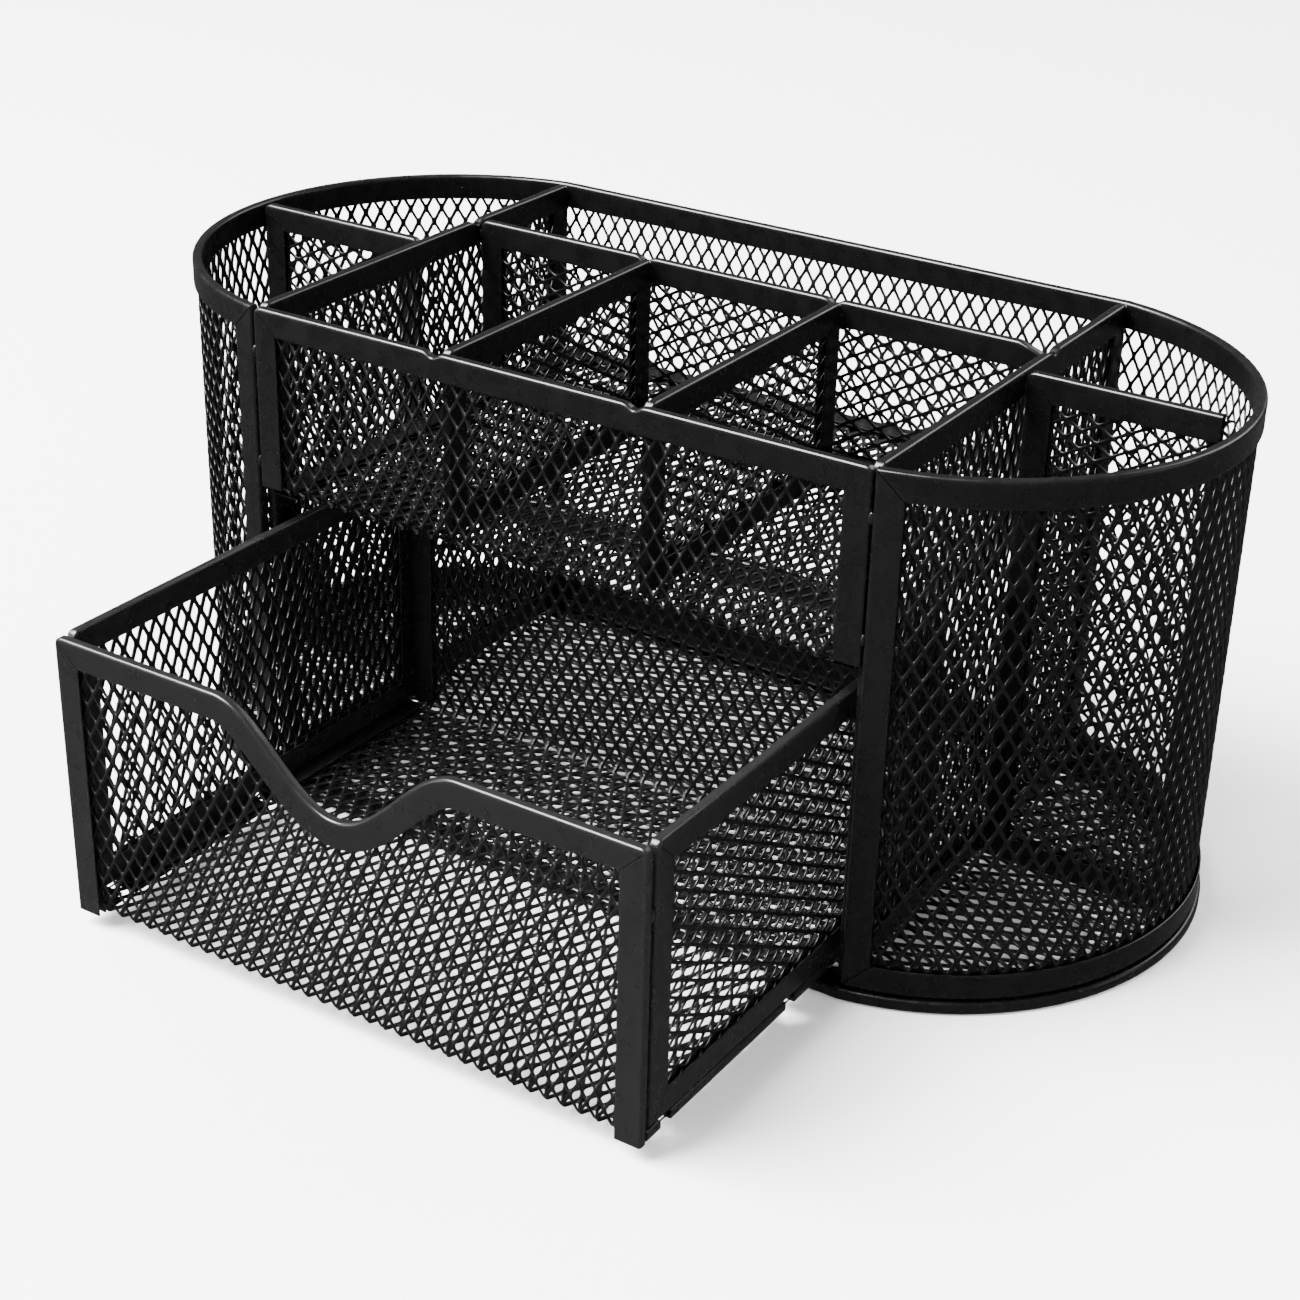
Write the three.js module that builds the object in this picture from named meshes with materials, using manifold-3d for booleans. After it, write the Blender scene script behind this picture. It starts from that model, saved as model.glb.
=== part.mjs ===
// Desk organizer of powder-coated steel mesh, with rounded ends and a pull-out drawer.
// Millimetres, +Z up, +X to the right, the drawer opens towards -Y.
//
// Every sheet of mesh is a thin plate, and every edge of a sheet sits in a folded strip of
// U section (a channel). Flat panels are drawn in their own plane (u across, v up) and
// turned into place by their group; the curved wall is drawn in plan and raised along Z.

import * as THREE from "three";
import { mergeVertices } from "three/addons/utils/BufferGeometryUtils.js";
import Module from "manifold-3d";

const wasm = await Module();
wasm.setup();

// ---- Driving dimensions -------------------------------------------------------------

const bodyWidth = 133; // between the two front posts
const endBulge = 43; // how far each rounded end stands out past its post, wall centre line
const bodyDepth = 105; // over the front and back channels
const bodyHeight = 104;

const stripWidth = 5.2; // leg of the folded U strip
const stripWall = 0.4; // metal of the strip
const sheetThickness = 0.6; // mesh sheet

const baseRingThickness = 2.4; // the strip round the floor lies flat
const baseRingOverhang = 0.6; // past the wall's bottom strip
const wallRise = 0.5; // between the floor's strip and the wall's bottom strip

const shelfHeight = 65.2; // underside of the shelf's strips
const shelfBendRadius = 1.0; // where the front sheet turns back to become the shelf

const centreDividerY = 18.5;
const frontDividerXs = [-22.6, 21.0];
const endDividerYs = { left: 0, right: 5 };

const drawerOpen = 60; // how far it stands open as modelled
const scoopHalfWidth = 26;
const scoopDepth = 16.4;

// ---- Clearances -----------------------------------------------------------------------

const gap = 0.3; // between touching pieces
const seam = 0.15; // half the gap on the line between the front frame and the wall's ends
const drawerSideClearance = 2.0; // from each side to the cross divider beside it
const drawerTopClearance = 5.3; // under the shelf
const drawerBackClearance = 2.0; // to the back wall when it is shut
const drawerRise = 0.5; // over the strip round the floor
const drawerStripGap = 0.4; // between the drawer floor's strips and the sides on them

// ---- Resolution -----------------------------------------------------------------------

const arcSteps = 28; // per rounded end
const scoopSteps = 36;
const bendSteps = 5;

// ---- Worked-out sizes -----------------------------------------------------------------

const slotThickness = sheetThickness + 2 * gap;
const stripThickness = slotThickness + 2 * stripWall; // over both legs
const sheetInset = stripWall + gap; // of a sheet's edge inside its strip
const halfWidth = bodyWidth / 2;
const halfStrip = stripThickness / 2;
const wallHalfDepth = bodyDepth / 2 - halfStrip; // wall centre line
const endRadius = (endBulge ** 2 + wallHalfDepth ** 2) / (2 * endBulge);
const endCentreX = halfWidth + endBulge - endRadius;
const wallBottom = baseRingThickness + wallRise;
const insideBack = wallHalfDepth - halfStrip - gap; // free depth behind and before
const dividerX = halfWidth - halfStrip / 2; // plane of each cross divider, behind its post
const bayHalfWidth = dividerX - halfStrip - gap; // pieces held between the cross dividers
const dividerBottom = baseRingThickness + gap;
const shelfTop = shelfHeight + stripThickness + gap;

const drawerBottom = baseRingThickness + drawerRise;
const drawerTop = shelfHeight - drawerTopClearance;
const drawerHeight = drawerTop - drawerBottom;
const drawerWidth = 2 * (dividerX - halfStrip - drawerSideClearance);
const drawerLength = bodyDepth / 2 + wallHalfDepth - halfStrip - drawerBackClearance;
const drawerFrontY = -bodyDepth / 2 - drawerOpen;

// ---- Finishes -------------------------------------------------------------------------

const finishes = {
  strip: { color: 0x1c1c1d, roughness: 0.42, metalness: 0.0 },
  sheet: { color: 0x161617, roughness: 0.5, metalness: 0.0 },
};

// ---- Solids ---------------------------------------------------------------------------

function toSolid(geometry) {
  const bare = geometry.clone();
  bare.deleteAttribute("normal");
  bare.deleteAttribute("uv");
  const merged = mergeVertices(bare, 1e-4);
  return new wasm.Manifold(
    new wasm.Mesh({
      numProp: 3,
      vertProperties: new Float32Array(merged.attributes.position.array),
      triVerts: new Uint32Array(merged.index.array),
    }),
  );
}

function toGeometry(solid) {
  const mesh = solid.getMesh();
  const geometry = new THREE.BufferGeometry();
  geometry.setAttribute("position", new THREE.BufferAttribute(mesh.vertProperties, 3));
  geometry.setIndex(new THREE.BufferAttribute(mesh.triVerts, 1));
  geometry.computeVertexNormals();
  return geometry;
}

function piece(name, solid, finish) {
  const mesh = new THREE.Mesh(toGeometry(solid), new THREE.MeshStandardMaterial(finishes[finish]));
  mesh.name = name;
  return mesh;
}

// A closed outline from [u, v] points.
function outline(points) {
  return new THREE.Shape(points.map(([u, v]) => new THREE.Vector2(u, v)));
}

function rectangle(u0, v0, u1, v1) {
  return outline([[u0, v0], [u1, v0], [u1, v1], [u0, v1]]);
}

// An outline raised from z = low to z = high.
function raise(shape, low, high) {
  const options = { depth: high - low, bevelEnabled: false, curveSegments: arcSteps };
  return toSolid(new THREE.ExtrudeGeometry(shape, options).translate(0, 0, low));
}

// An outline made into a plate that is centred on the plane of drawing.
function plate(shape, thickness) {
  return raise(shape, -thickness / 2, thickness / 2);
}

// An outline in the XZ plane pushed through from y = low to y = high.
function pushThrough(shape, low, high) {
  const options = { depth: high - low, bevelEnabled: false, curveSegments: scoopSteps };
  const geometry = new THREE.ExtrudeGeometry(shape, options);
  return toSolid(geometry.rotateX(Math.PI / 2).translate(0, high, 0));
}

// ---- Flat panels ----------------------------------------------------------------------

// The outline at full thickness, with the sheet's slot taken out of it.
function folded(shape, slot) {
  return plate(shape, stripThickness).subtract(plate(slot, slotThickness));
}

function strip(name, shape, slot) {
  return piece(name, folded(shape, slot), "strip");
}

// A panel of mesh with a top channel and one strip folded round its other three sides.
// The mitres at the two top corners stand a gap apart.
function panel(name, width, height) {
  const w = stripWidth;
  const mitre = gap * Math.SQRT2;
  const slot = rectangle(stripWall, stripWall, width - stripWall, height - stripWall);
  const openSlot = rectangle(stripWall, stripWall, width - stripWall, height + stripWidth);
  const top = outline([[0, height], [w, height - w], [width - w, height - w], [width, height]]);
  const frame = outline([
    [0, 0],
    [width, 0],
    [width, height - mitre],
    [width - w, height - w - mitre],
    [width - w, w],
    [w, w],
    [w, height - w - mitre],
    [0, height - mitre],
  ]);
  const edge = sheetInset;
  const sheet = rectangle(edge, edge, width - edge, height - edge);
  const group = new THREE.Group();
  group.add(piece(`${name}_mesh`, plate(sheet, sheetThickness), "sheet"));
  group.add(strip(`${name}_top_channel`, top, slot));
  group.add(strip(`${name}_frame`, frame, openSlot));
  return group;
}

// Turns a panel so that u runs along +X and v along +Z, at the depth y.
function standAcross(group, x, y, z) {
  group.rotation.set(Math.PI / 2, 0, 0);
  group.position.set(x, y, z);
  return group;
}

// Turns a panel so that u runs along +Y and v along +Z, at the width x.
function standAlong(group, x, y, z) {
  group.rotation.set(Math.PI / 2, Math.PI / 2, 0);
  group.position.set(x, y, z);
  return group;
}

// A sheet bent once: upright at y = 0 above the bend, and flat at z = 0 behind it.
// It returns the outline of its section, with y as u and z as v.
function bentSection(radius, upTo, backTo) {
  const half = sheetThickness / 2;
  const section = new THREE.Shape();
  section.moveTo(backTo, -half);
  section.lineTo(radius, -half);
  section.absarc(radius, radius, radius + half, -Math.PI / 2, -Math.PI, true);
  section.lineTo(-half, upTo);
  section.lineTo(half, upTo);
  section.lineTo(half, radius);
  section.absarc(radius, radius, radius - half, Math.PI, 1.5 * Math.PI, false);
  section.lineTo(backTo, half);
  section.closePath();
  return section;
}

// A sheet bent twice: upright at y = 0 and at y = depth above the bends, and flat at
// z = 0 between them.
function troughSection(radius, depth, frontTo, backTo) {
  const half = sheetThickness / 2;
  const section = new THREE.Shape();
  section.moveTo(-half, frontTo);
  section.lineTo(-half, radius);
  section.absarc(radius, radius, radius + half, Math.PI, 1.5 * Math.PI, false);
  section.lineTo(depth - radius, -half);
  section.absarc(depth - radius, radius, radius + half, -Math.PI / 2, 0, false);
  section.lineTo(depth + half, backTo);
  section.lineTo(depth - half, backTo);
  section.lineTo(depth - half, radius);
  section.absarc(depth - radius, radius, radius - half, 0, -Math.PI / 2, true);
  section.lineTo(radius, half);
  section.absarc(radius, radius, radius - half, 1.5 * Math.PI, Math.PI, true);
  section.lineTo(half, frontTo);
  section.closePath();
  return section;
}

// A bent sheet with the section given, from -halfSpan to halfSpan along X.
function bentSheet(section, halfSpan) {
  const options = { depth: 2 * halfSpan, bevelEnabled: false, curveSegments: bendSteps };
  const geometry = new THREE.ExtrudeGeometry(section, options);
  geometry.translate(0, 0, -halfSpan);
  const turn = new THREE.Matrix4().makeBasis(
    new THREE.Vector3(0, 1, 0),
    new THREE.Vector3(0, 0, 1),
    new THREE.Vector3(1, 0, 0),
  );
  return toSolid(geometry.applyMatrix4(turn));
}

// ---- The curved wall, in plan ---------------------------------------------------------

// Angle on the right end's arc, offset outwards, at which it reaches the width x.
function angleAtX(x, offset) {
  return Math.acos((x - endCentreX) / (endRadius + offset));
}

// Angle at which the offset arc meets the offset straight side.
function angleAtSide(offset) {
  return Math.asin((wallHalfDepth + offset) / (endRadius + offset));
}

// Points of the right end's arc, from one angle to another.
function arcPoints(offset, from, to) {
  const points = [];
  for (let i = 0; i <= arcSteps; i += 1) {
    const angle = from + ((to - from) * i) / arcSteps;
    points.push([
      endCentreX + (endRadius + offset) * Math.cos(angle),
      (endRadius + offset) * Math.sin(angle),
    ]);
  }
  return points;
}

function mirrored(points) {
  return points.map(([x, y]) => [-x, y]).reverse();
}

// One line along the wall: right end, back and left end, starting at x = endX in front.
function wallLine(offset, endX) {
  const right = arcPoints(offset, -angleAtX(endX, offset), angleAtSide(offset));
  return [...right, ...mirrored(right)];
}

// The band between two offsets of the wall line.
function wallBand(inner, outer, endX) {
  return outline([...wallLine(outer, endX), ...wallLine(inner, endX).reverse()]);
}

// A closed line round the whole floor.
function floorLine(offset) {
  const right = arcPoints(offset, -angleAtSide(offset), angleAtSide(offset));
  return [...right, ...mirrored(right)];
}

// The wall's inner face at the depth y, measured across from the middle.
function wallInnerX(y) {
  return endCentreX + Math.sqrt((endRadius - halfStrip) ** 2 - y ** 2);
}

// The front stretch of the right end's arc, between two widths.
function endBand(inner, outer, fromX, toX) {
  const line = (offset) => arcPoints(offset, -angleAtX(fromX, offset), -angleAtX(toX, offset));
  return outline([...line(outer), ...line(inner).reverse()]);
}

function mirrorSolid(solid) {
  return solid.mirror([1, 0, 0]);
}

const endX = halfWidth + seam; // where the wall's end channels start
const endInnerX = endX + stripWidth;
const throughY = [-bodyDepth, 0];

// A triangle beside the mitre line at a wall end, on the frame side (side = -1) or on the
// wall side (side = 1) of it. The line climbs inwards at the bottom and falls at the top.
function mitreCut(cornerZ, inwards, side) {
  const far = 3 * stripWidth;
  const shift = side < 0 ? -inwards * gap * Math.SQRT2 : 0;
  const start = [endX - far, cornerZ + inwards * far + shift];
  const finish = [endX + far, cornerZ - inwards * far + shift];
  const third = side < 0 ? [endX + far, cornerZ + inwards * far + shift]
    : [endX - far, cornerZ - inwards * far + shift];
  const points = inwards * side < 0 ? [start, finish, third] : [start, third, finish];
  return pushThrough(outline(points), ...throughY);
}

function bothEnds(solid) {
  return solid.add(mirrorSolid(solid));
}

function wallChannel(name, low, high, slotLow, slotHigh, cornerZ, inwards) {
  const slot = raise(wallBand(-slotThickness / 2, slotThickness / 2, endX), slotLow, slotHigh);
  const cut = bothEnds(mitreCut(cornerZ, inwards, 1));
  const body = raise(wallBand(-halfStrip, halfStrip, endX), low, high);
  return piece(name, body.subtract(slot).subtract(cut), "strip");
}

function wallEndChannel() {
  const body = raise(endBand(-halfStrip, halfStrip, endX, endInnerX), wallBottom, bodyHeight);
  const slotBand = endBand(-slotThickness / 2, slotThickness / 2, endX + stripWall, endInnerX + gap);
  const slot = raise(slotBand, wallBottom + stripWall, bodyHeight - stripWall);
  const cuts = mitreCut(bodyHeight, 1, -1).add(mitreCut(wallBottom, -1, -1));
  return body.subtract(slot).subtract(cuts);
}

function wall() {
  const group = new THREE.Group();
  const sheetBand = wallBand(-sheetThickness / 2, sheetThickness / 2, endX + sheetInset);
  const sheet = raise(sheetBand, wallBottom + sheetInset, bodyHeight - sheetInset);
  const topLow = bodyHeight - stripWidth;
  const bottomHigh = wallBottom + stripWidth;
  group.add(piece("wall_mesh", sheet, "sheet"));
  group.add(
    wallChannel("wall_rim_channel", topLow, bodyHeight, topLow - gap, bodyHeight - stripWall, bodyHeight, 1),
    wallChannel(
      "wall_bottom_channel", wallBottom, bottomHigh, wallBottom + stripWall, bottomHigh + gap, wallBottom, -1,
    ),
  );
  const right = wallEndChannel();
  group.add(piece("wall_end_channel_right", right, "strip"));
  group.add(piece("wall_end_channel_left", mirrorSolid(right), "strip"));
  return group;
}

// ---- Floor ----------------------------------------------------------------------------

function base() {
  const group = new THREE.Group();
  const outerOffset = halfStrip + baseRingOverhang;
  const area = (offset) => outline(floorLine(offset));
  const solidRing = raise(area(outerOffset), 0, baseRingThickness);
  const hole = raise(area(outerOffset - stripWidth), -gap, baseRingThickness + gap);
  const slotLow = stripWall;
  const slotHigh = baseRingThickness - stripWall;
  const slot = raise(area(outerOffset - stripWall), slotLow, slotHigh);
  const sheetLow = (baseRingThickness - sheetThickness) / 2;
  const sheet = raise(area(outerOffset - sheetInset), sheetLow, sheetLow + sheetThickness);
  group.add(piece("base_mesh", sheet, "sheet"));
  group.add(piece("base_ring", solidRing.subtract(hole).subtract(slot), "strip"));
  return group;
}

// ---- Front panel and shelf ------------------------------------------------------------

// The front sheet turns back at its foot and becomes the shelf.
function frontAndShelf() {
  const group = new THREE.Group();
  const shelfPlane = shelfHeight + halfStrip;
  const shelfHalf = bayHalfWidth;
  const upTo = bodyHeight - sheetInset - shelfPlane;
  const backTo = insideBack - sheetInset + wallHalfDepth;
  const sheet = bentSheet(bentSection(shelfBendRadius, upTo, backTo), shelfHalf - sheetInset);
  const sheetPiece = piece("front_and_shelf_mesh", sheet, "sheet");
  sheetPiece.position.set(0, -wallHalfDepth, shelfPlane);
  group.add(sheetPiece);

  const w = stripWidth;
  const mitre = gap * Math.SQRT2;
  const width = bodyWidth - 2 * seam;
  const foot = shelfPlane + shelfBendRadius + gap; // the uprights end just over the bend
  const height = bodyHeight - foot;
  const slot = rectangle(stripWall, -w, width - stripWall, height - stripWall);
  const openSlot = rectangle(stripWall, -w, width - stripWall, height + w);
  const rail = outline([[0, height], [w, height - w], [width - w, height - w], [width, height]]);
  const leftPost = outline([[0, 0], [w, 0], [w, height - w - mitre], [0, height - mitre]]);
  const rightPost = outline([
    [width, 0], [width, height - mitre], [width - w, height - w - mitre], [width - w, 0],
  ]);
  const front = new THREE.Group();
  front.add(strip("front_top_rail", rail, slot));
  front.add(strip("front_upright_left", leftPost, openSlot));
  front.add(strip("front_upright_right", rightPost, openSlot));
  group.add(standAcross(front, -width / 2, -wallHalfDepth, foot));

  const shelfFront = -insideBack;
  const shelfSlot = rectangle(
    -shelfHalf + stripWall, shelfFront - w, shelfHalf - stripWall, insideBack - stripWall,
  );
  const side = (sign) => outline([
    [sign * shelfHalf, shelfFront],
    [sign * shelfHalf, insideBack - mitre],
    [sign * (shelfHalf - w), insideBack - w - mitre],
    [sign * (shelfHalf - w), shelfFront],
  ]);
  const back = outline([
    [-shelfHalf, insideBack], [-shelfHalf + w, insideBack - w],
    [shelfHalf - w, insideBack - w], [shelfHalf, insideBack],
  ]);
  const shelf = new THREE.Group();
  shelf.add(strip("shelf_channel_left", side(-1), shelfSlot));
  shelf.add(strip("shelf_channel_right", side(1), shelfSlot));
  shelf.add(strip("shelf_channel_back", back, shelfSlot));
  shelf.position.set(0, 0, shelfPlane);
  group.add(shelf);
  return group;
}

// ---- Dividers -------------------------------------------------------------------------

function dividers() {
  const group = new THREE.Group();
  const crossLength = 2 * insideBack;
  const crossHeight = bodyHeight - dividerBottom;
  for (const [side, sign] of [["left", -1], ["right", 1]]) {
    const cross = panel(`${side}_cross_divider`, crossLength, crossHeight);
    group.add(standAlong(cross, sign * dividerX, -insideBack, dividerBottom));

    const endY = endDividerYs[side];
    const from = dividerX + halfStrip + gap;
    const to = wallInnerX(Math.abs(endY) + halfStrip) - gap;
    const end = panel(`${side}_end_divider`, to - from, crossHeight);
    group.add(standAcross(end, sign > 0 ? from : -to, endY, dividerBottom));
  }

  const upperHeight = bodyHeight - shelfTop;
  const centre = panel("centre_divider", 2 * bayHalfWidth, upperHeight);
  group.add(standAcross(centre, -bayHalfWidth, centreDividerY, shelfTop));

  const frontLength = centreDividerY - halfStrip - gap + insideBack;
  for (const [index, side] of ["left", "right"].entries()) {
    const short = panel(`${side}_front_divider`, frontLength, upperHeight);
    group.add(standAlong(short, frontDividerXs[index], -insideBack, shelfTop));
  }
  return group;
}

// ---- Drawer ---------------------------------------------------------------------------

// Height of the front's top edge above the drawer's underside, with the finger scoop.
function scoopLine(x) {
  if (Math.abs(x) >= scoopHalfWidth) return drawerHeight;
  return drawerHeight - (scoopDepth / 2) * (1 + Math.cos((Math.PI * x) / scoopHalfWidth));
}

// Points along the front's top edge from left to right, moved square to it by an inset.
function scoopEdge(halfSpan, inset) {
  const points = [[-halfSpan, drawerHeight - inset]];
  const step = 1e-3;
  for (let i = 0; i <= scoopSteps; i += 1) {
    const x = -scoopHalfWidth + (2 * scoopHalfWidth * i) / scoopSteps;
    const slope = (scoopLine(x + step) - scoopLine(x - step)) / (2 * step);
    const length = Math.hypot(1, slope);
    points.push([x + (inset * slope) / length, scoopLine(x) - inset / length]);
  }
  points.push([halfSpan, drawerHeight - inset]);
  return points;
}

function drawerFront() {
  const group = new THREE.Group();
  const half = drawerWidth / 2;
  const w = stripWidth;
  const mitre = gap * Math.SQRT2;
  const rail = outline([...scoopEdge(half - w, w), ...scoopEdge(half, 0).reverse()]);
  const slot = outline([
    ...scoopEdge(half - stripWall, stripWall),
    [half - stripWall, 0],
    [-half + stripWall, 0],
  ]);
  const post = (sign) => outline([
    [sign * half, 0],
    [sign * half, drawerHeight - mitre],
    [sign * (half - w), drawerHeight - w - mitre],
    [sign * (half - w), 0],
  ]);
  const openSlot = rectangle(-half + stripWall, -w, half - stripWall, drawerHeight + w);
  const bendSpace = rectangle(-half + stripWall, -w, half - stripWall, stripThickness + gap);
  const bendCut = raise(bendSpace, -stripThickness, slotThickness / 2);
  const upright = (sign) => folded(post(sign), openSlot).subtract(bendCut);
  group.add(strip("drawer_front_rail", rail, slot));
  group.add(piece("drawer_front_upright_left", upright(-1), "strip"));
  group.add(piece("drawer_front_upright_right", upright(1), "strip"));
  return standAcross(group, 0, drawerFrontY + halfStrip, drawerBottom);
}

// The sheet of the drawer: its front turns back at the foot, becomes the floor and turns
// up again as the back, which is narrower because it stands between the sides.
function drawerTray(floorHalf, floorPlane, backHalf) {
  const frontPlane = drawerFrontY + halfStrip;
  const upTo = drawerHeight - sheetInset - (floorPlane - drawerBottom);
  const depth = drawerLength - stripThickness;
  const section = troughSection(halfStrip, depth, upTo, upTo);
  const above = outline([
    ...scoopEdge(scoopHalfWidth, sheetInset),
    [scoopHalfWidth, 2 * drawerHeight],
    [-scoopHalfWidth, 2 * drawerHeight],
  ]);
  const cut = pushThrough(above, -stripWidth, stripWidth).translate([0, 0, drawerBottom - floorPlane]);
  let sheet = bentSheet(section, floorHalf - sheetInset).subtract(cut);
  const flatTo = depth - halfStrip - gap;
  for (const sign of [-1, 1]) {
    const beside = rectangle(sign * (backHalf - sheetInset), flatTo, sign * floorHalf, drawerLength);
    sheet = sheet.subtract(raise(beside, -stripThickness, drawerHeight));
  }
  const tray = piece("drawer_tray_mesh", sheet, "sheet");
  tray.position.set(0, frontPlane, floorPlane);
  return tray;
}

// The strips on the top and the two sides of the drawer's back.
function drawerBack(backHalf, height) {
  const group = new THREE.Group();
  const w = stripWidth;
  const mitre = gap * Math.SQRT2;
  const edge = backHalf - stripWall;
  const top = outline([
    [-backHalf, height], [-backHalf + w, height - w],
    [backHalf - w, height - w], [backHalf, height],
  ]);
  const post = (sign) => outline([
    [sign * backHalf, 0],
    [sign * backHalf, height - mitre],
    [sign * (backHalf - w), height - w - mitre],
    [sign * (backHalf - w), 0],
  ]);
  const slot = rectangle(-edge, 0, edge, height - stripWall);
  const openSlot = rectangle(-edge, -w, edge, height + w);
  group.add(strip("drawer_back_top_channel", top, slot));
  group.add(strip("drawer_back_upright_left", post(-1), openSlot));
  group.add(strip("drawer_back_upright_right", post(1), openSlot));
  return group;
}

function drawer() {
  const group = new THREE.Group();
  const half = drawerWidth / 2;
  const w = stripWidth;
  const floorPlane = drawerBottom + halfStrip;
  const behindFront = drawerFrontY + stripThickness + gap;
  const rear = drawerFrontY + drawerLength;
  const beforeBack = rear - stripThickness - gap;
  const backHalf = half - stripThickness - gap;
  group.add(drawerFront());
  group.add(drawerTray(half, floorPlane, backHalf));

  // A strip folded round each side of the floor.
  const openSlot = rectangle(-half + stripWall, behindFront - w, half - stripWall, rear + w);
  for (const [side, sign] of [["left", -1], ["right", 1]]) {
    const shape = rectangle(sign * half, behindFront, sign * (half - w), beforeBack);
    const floor = strip(`drawer_floor_channel_${side}`, shape, openSlot);
    floor.position.z = floorPlane;
    group.add(floor);
  }

  const panelBottom = drawerBottom + stripThickness + drawerStripGap;
  const panelHeight = drawerTop - panelBottom;
  const sideLength = rear - behindFront;
  for (const [side, sign] of [["left", -1], ["right", 1]]) {
    const flank = panel(`drawer_${side}_side`, sideLength, panelHeight);
    group.add(standAlong(flank, sign * (half - halfStrip), behindFront, panelBottom));
  }
  group.add(standAcross(drawerBack(backHalf, panelHeight), 0, rear - halfStrip, panelBottom));
  return group;
}

// ---- The whole organizer --------------------------------------------------------------

// The origin is under the middle of the box that holds everything, drawer open.
const backY = wallHalfDepth + halfStrip + baseRingOverhang;
const organizer = new THREE.Group();
organizer.add(wall(), base(), frontAndShelf(), dividers(), drawer());
organizer.position.y = -(backY + drawerFrontY) / 2;

const model = new THREE.Group();
model.add(organizer);
export default model;
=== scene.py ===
"""Looks for a desk organizer of powder-coated steel mesh, with a pull-out drawer.

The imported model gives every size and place. This file puts the real things in place of
its plain solids: sheets of expanded metal, folded edge strips with seams, and spot welds.
Everything is in metres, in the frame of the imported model.
"""

import logging
import math
from abc import ABC, abstractmethod
from collections.abc import Callable
from dataclasses import dataclass, field
from enum import Enum
from itertools import product

import bpy
import numpy as np
from mathutils import Matrix, Vector

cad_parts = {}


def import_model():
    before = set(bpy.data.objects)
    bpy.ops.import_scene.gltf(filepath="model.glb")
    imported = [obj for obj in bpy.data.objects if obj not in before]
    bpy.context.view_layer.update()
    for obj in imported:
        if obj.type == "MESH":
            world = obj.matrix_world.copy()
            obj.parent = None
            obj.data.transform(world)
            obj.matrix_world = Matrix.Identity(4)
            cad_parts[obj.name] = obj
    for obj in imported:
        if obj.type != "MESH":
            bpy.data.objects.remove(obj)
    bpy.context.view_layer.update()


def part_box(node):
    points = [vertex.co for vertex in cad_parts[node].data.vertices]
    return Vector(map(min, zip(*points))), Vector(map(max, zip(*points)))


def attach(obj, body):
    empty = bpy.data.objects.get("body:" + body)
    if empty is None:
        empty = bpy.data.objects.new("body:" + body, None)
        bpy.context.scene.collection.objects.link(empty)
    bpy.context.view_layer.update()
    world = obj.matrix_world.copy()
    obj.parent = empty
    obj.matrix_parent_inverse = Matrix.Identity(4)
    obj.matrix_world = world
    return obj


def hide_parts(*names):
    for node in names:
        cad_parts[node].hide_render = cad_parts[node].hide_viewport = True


LOG = logging.getLogger("organizer")
MM = 0.001
RIGHT = Vector((1, 0, 0)).freeze()
BACK = Vector((0, 1, 0)).freeze()
UP = Vector((0, 0, 1)).freeze()

Array = np.ndarray
Place = Callable[[Array, Array, Array], Array]


class LongWay(Enum):
    """Which way the long diagonal of the mesh's diamonds runs in a sheet."""

    UP = "up"
    ACROSS = "across"


class Body(Enum):
    """The bodies of the model that the pieces ride on."""

    ORGANIZER = "organizer"
    DRAWER = "drawer"


# ---- Meshes ---------------------------------------------------------------------------


@dataclass
class Shell:
    """A mesh in the making: points, faces and how rubbed each point is.

    Attributes:
        points: Arrays of positions, one per added part.
        faces: Faces as tuples of point numbers.
        wear: Arrays of how much the coat is thinned, from 0 to 1, one per added part.
    """

    points: list[Array] = field(default_factory=list)
    faces: list[tuple[int, ...]] = field(default_factory=list)
    wear: list[Array] = field(default_factory=list)

    def add(self, points: Array, faces: list[tuple[int, ...]], wear: Array | None = None) -> None:
        """Adds a part.

        Args:
            points: Its positions, one row each.
            faces: Its faces, counted from its own first point.
            wear: How rubbed each point is, or None for not at all.
        """
        start = sum(len(p) for p in self.points)
        self.points.append(points)
        self.faces.extend(tuple(start + i for i in face) for face in faces)
        self.wear.append(np.zeros(len(points)) if wear is None else wear)

    def to_object(self, name: str, crease_deg: float = 40.0) -> bpy.types.Object:
        """Makes the Blender object.

        Args:
            name: The object's name.
            crease_deg: Edges that turn by more than this stay sharp.

        Returns:
            The object, linked to the scene.
        """
        mesh = bpy.data.meshes.new(name)
        mesh.from_pydata(np.concatenate(self.points).tolist(), [], self.faces)
        mesh.polygons.foreach_set("use_smooth", np.ones(len(mesh.polygons), bool))
        mesh.set_sharp_from_angle(angle=math.radians(crease_deg))
        wear = mesh.attributes.new("wear", "FLOAT", "POINT")
        wear.data.foreach_set("value", np.concatenate(self.wear).astype(np.float32))
        mesh.validate()
        mesh.update()
        made = bpy.data.objects.new(name, mesh)
        bpy.context.scene.collection.objects.link(made)
        return made


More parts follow.
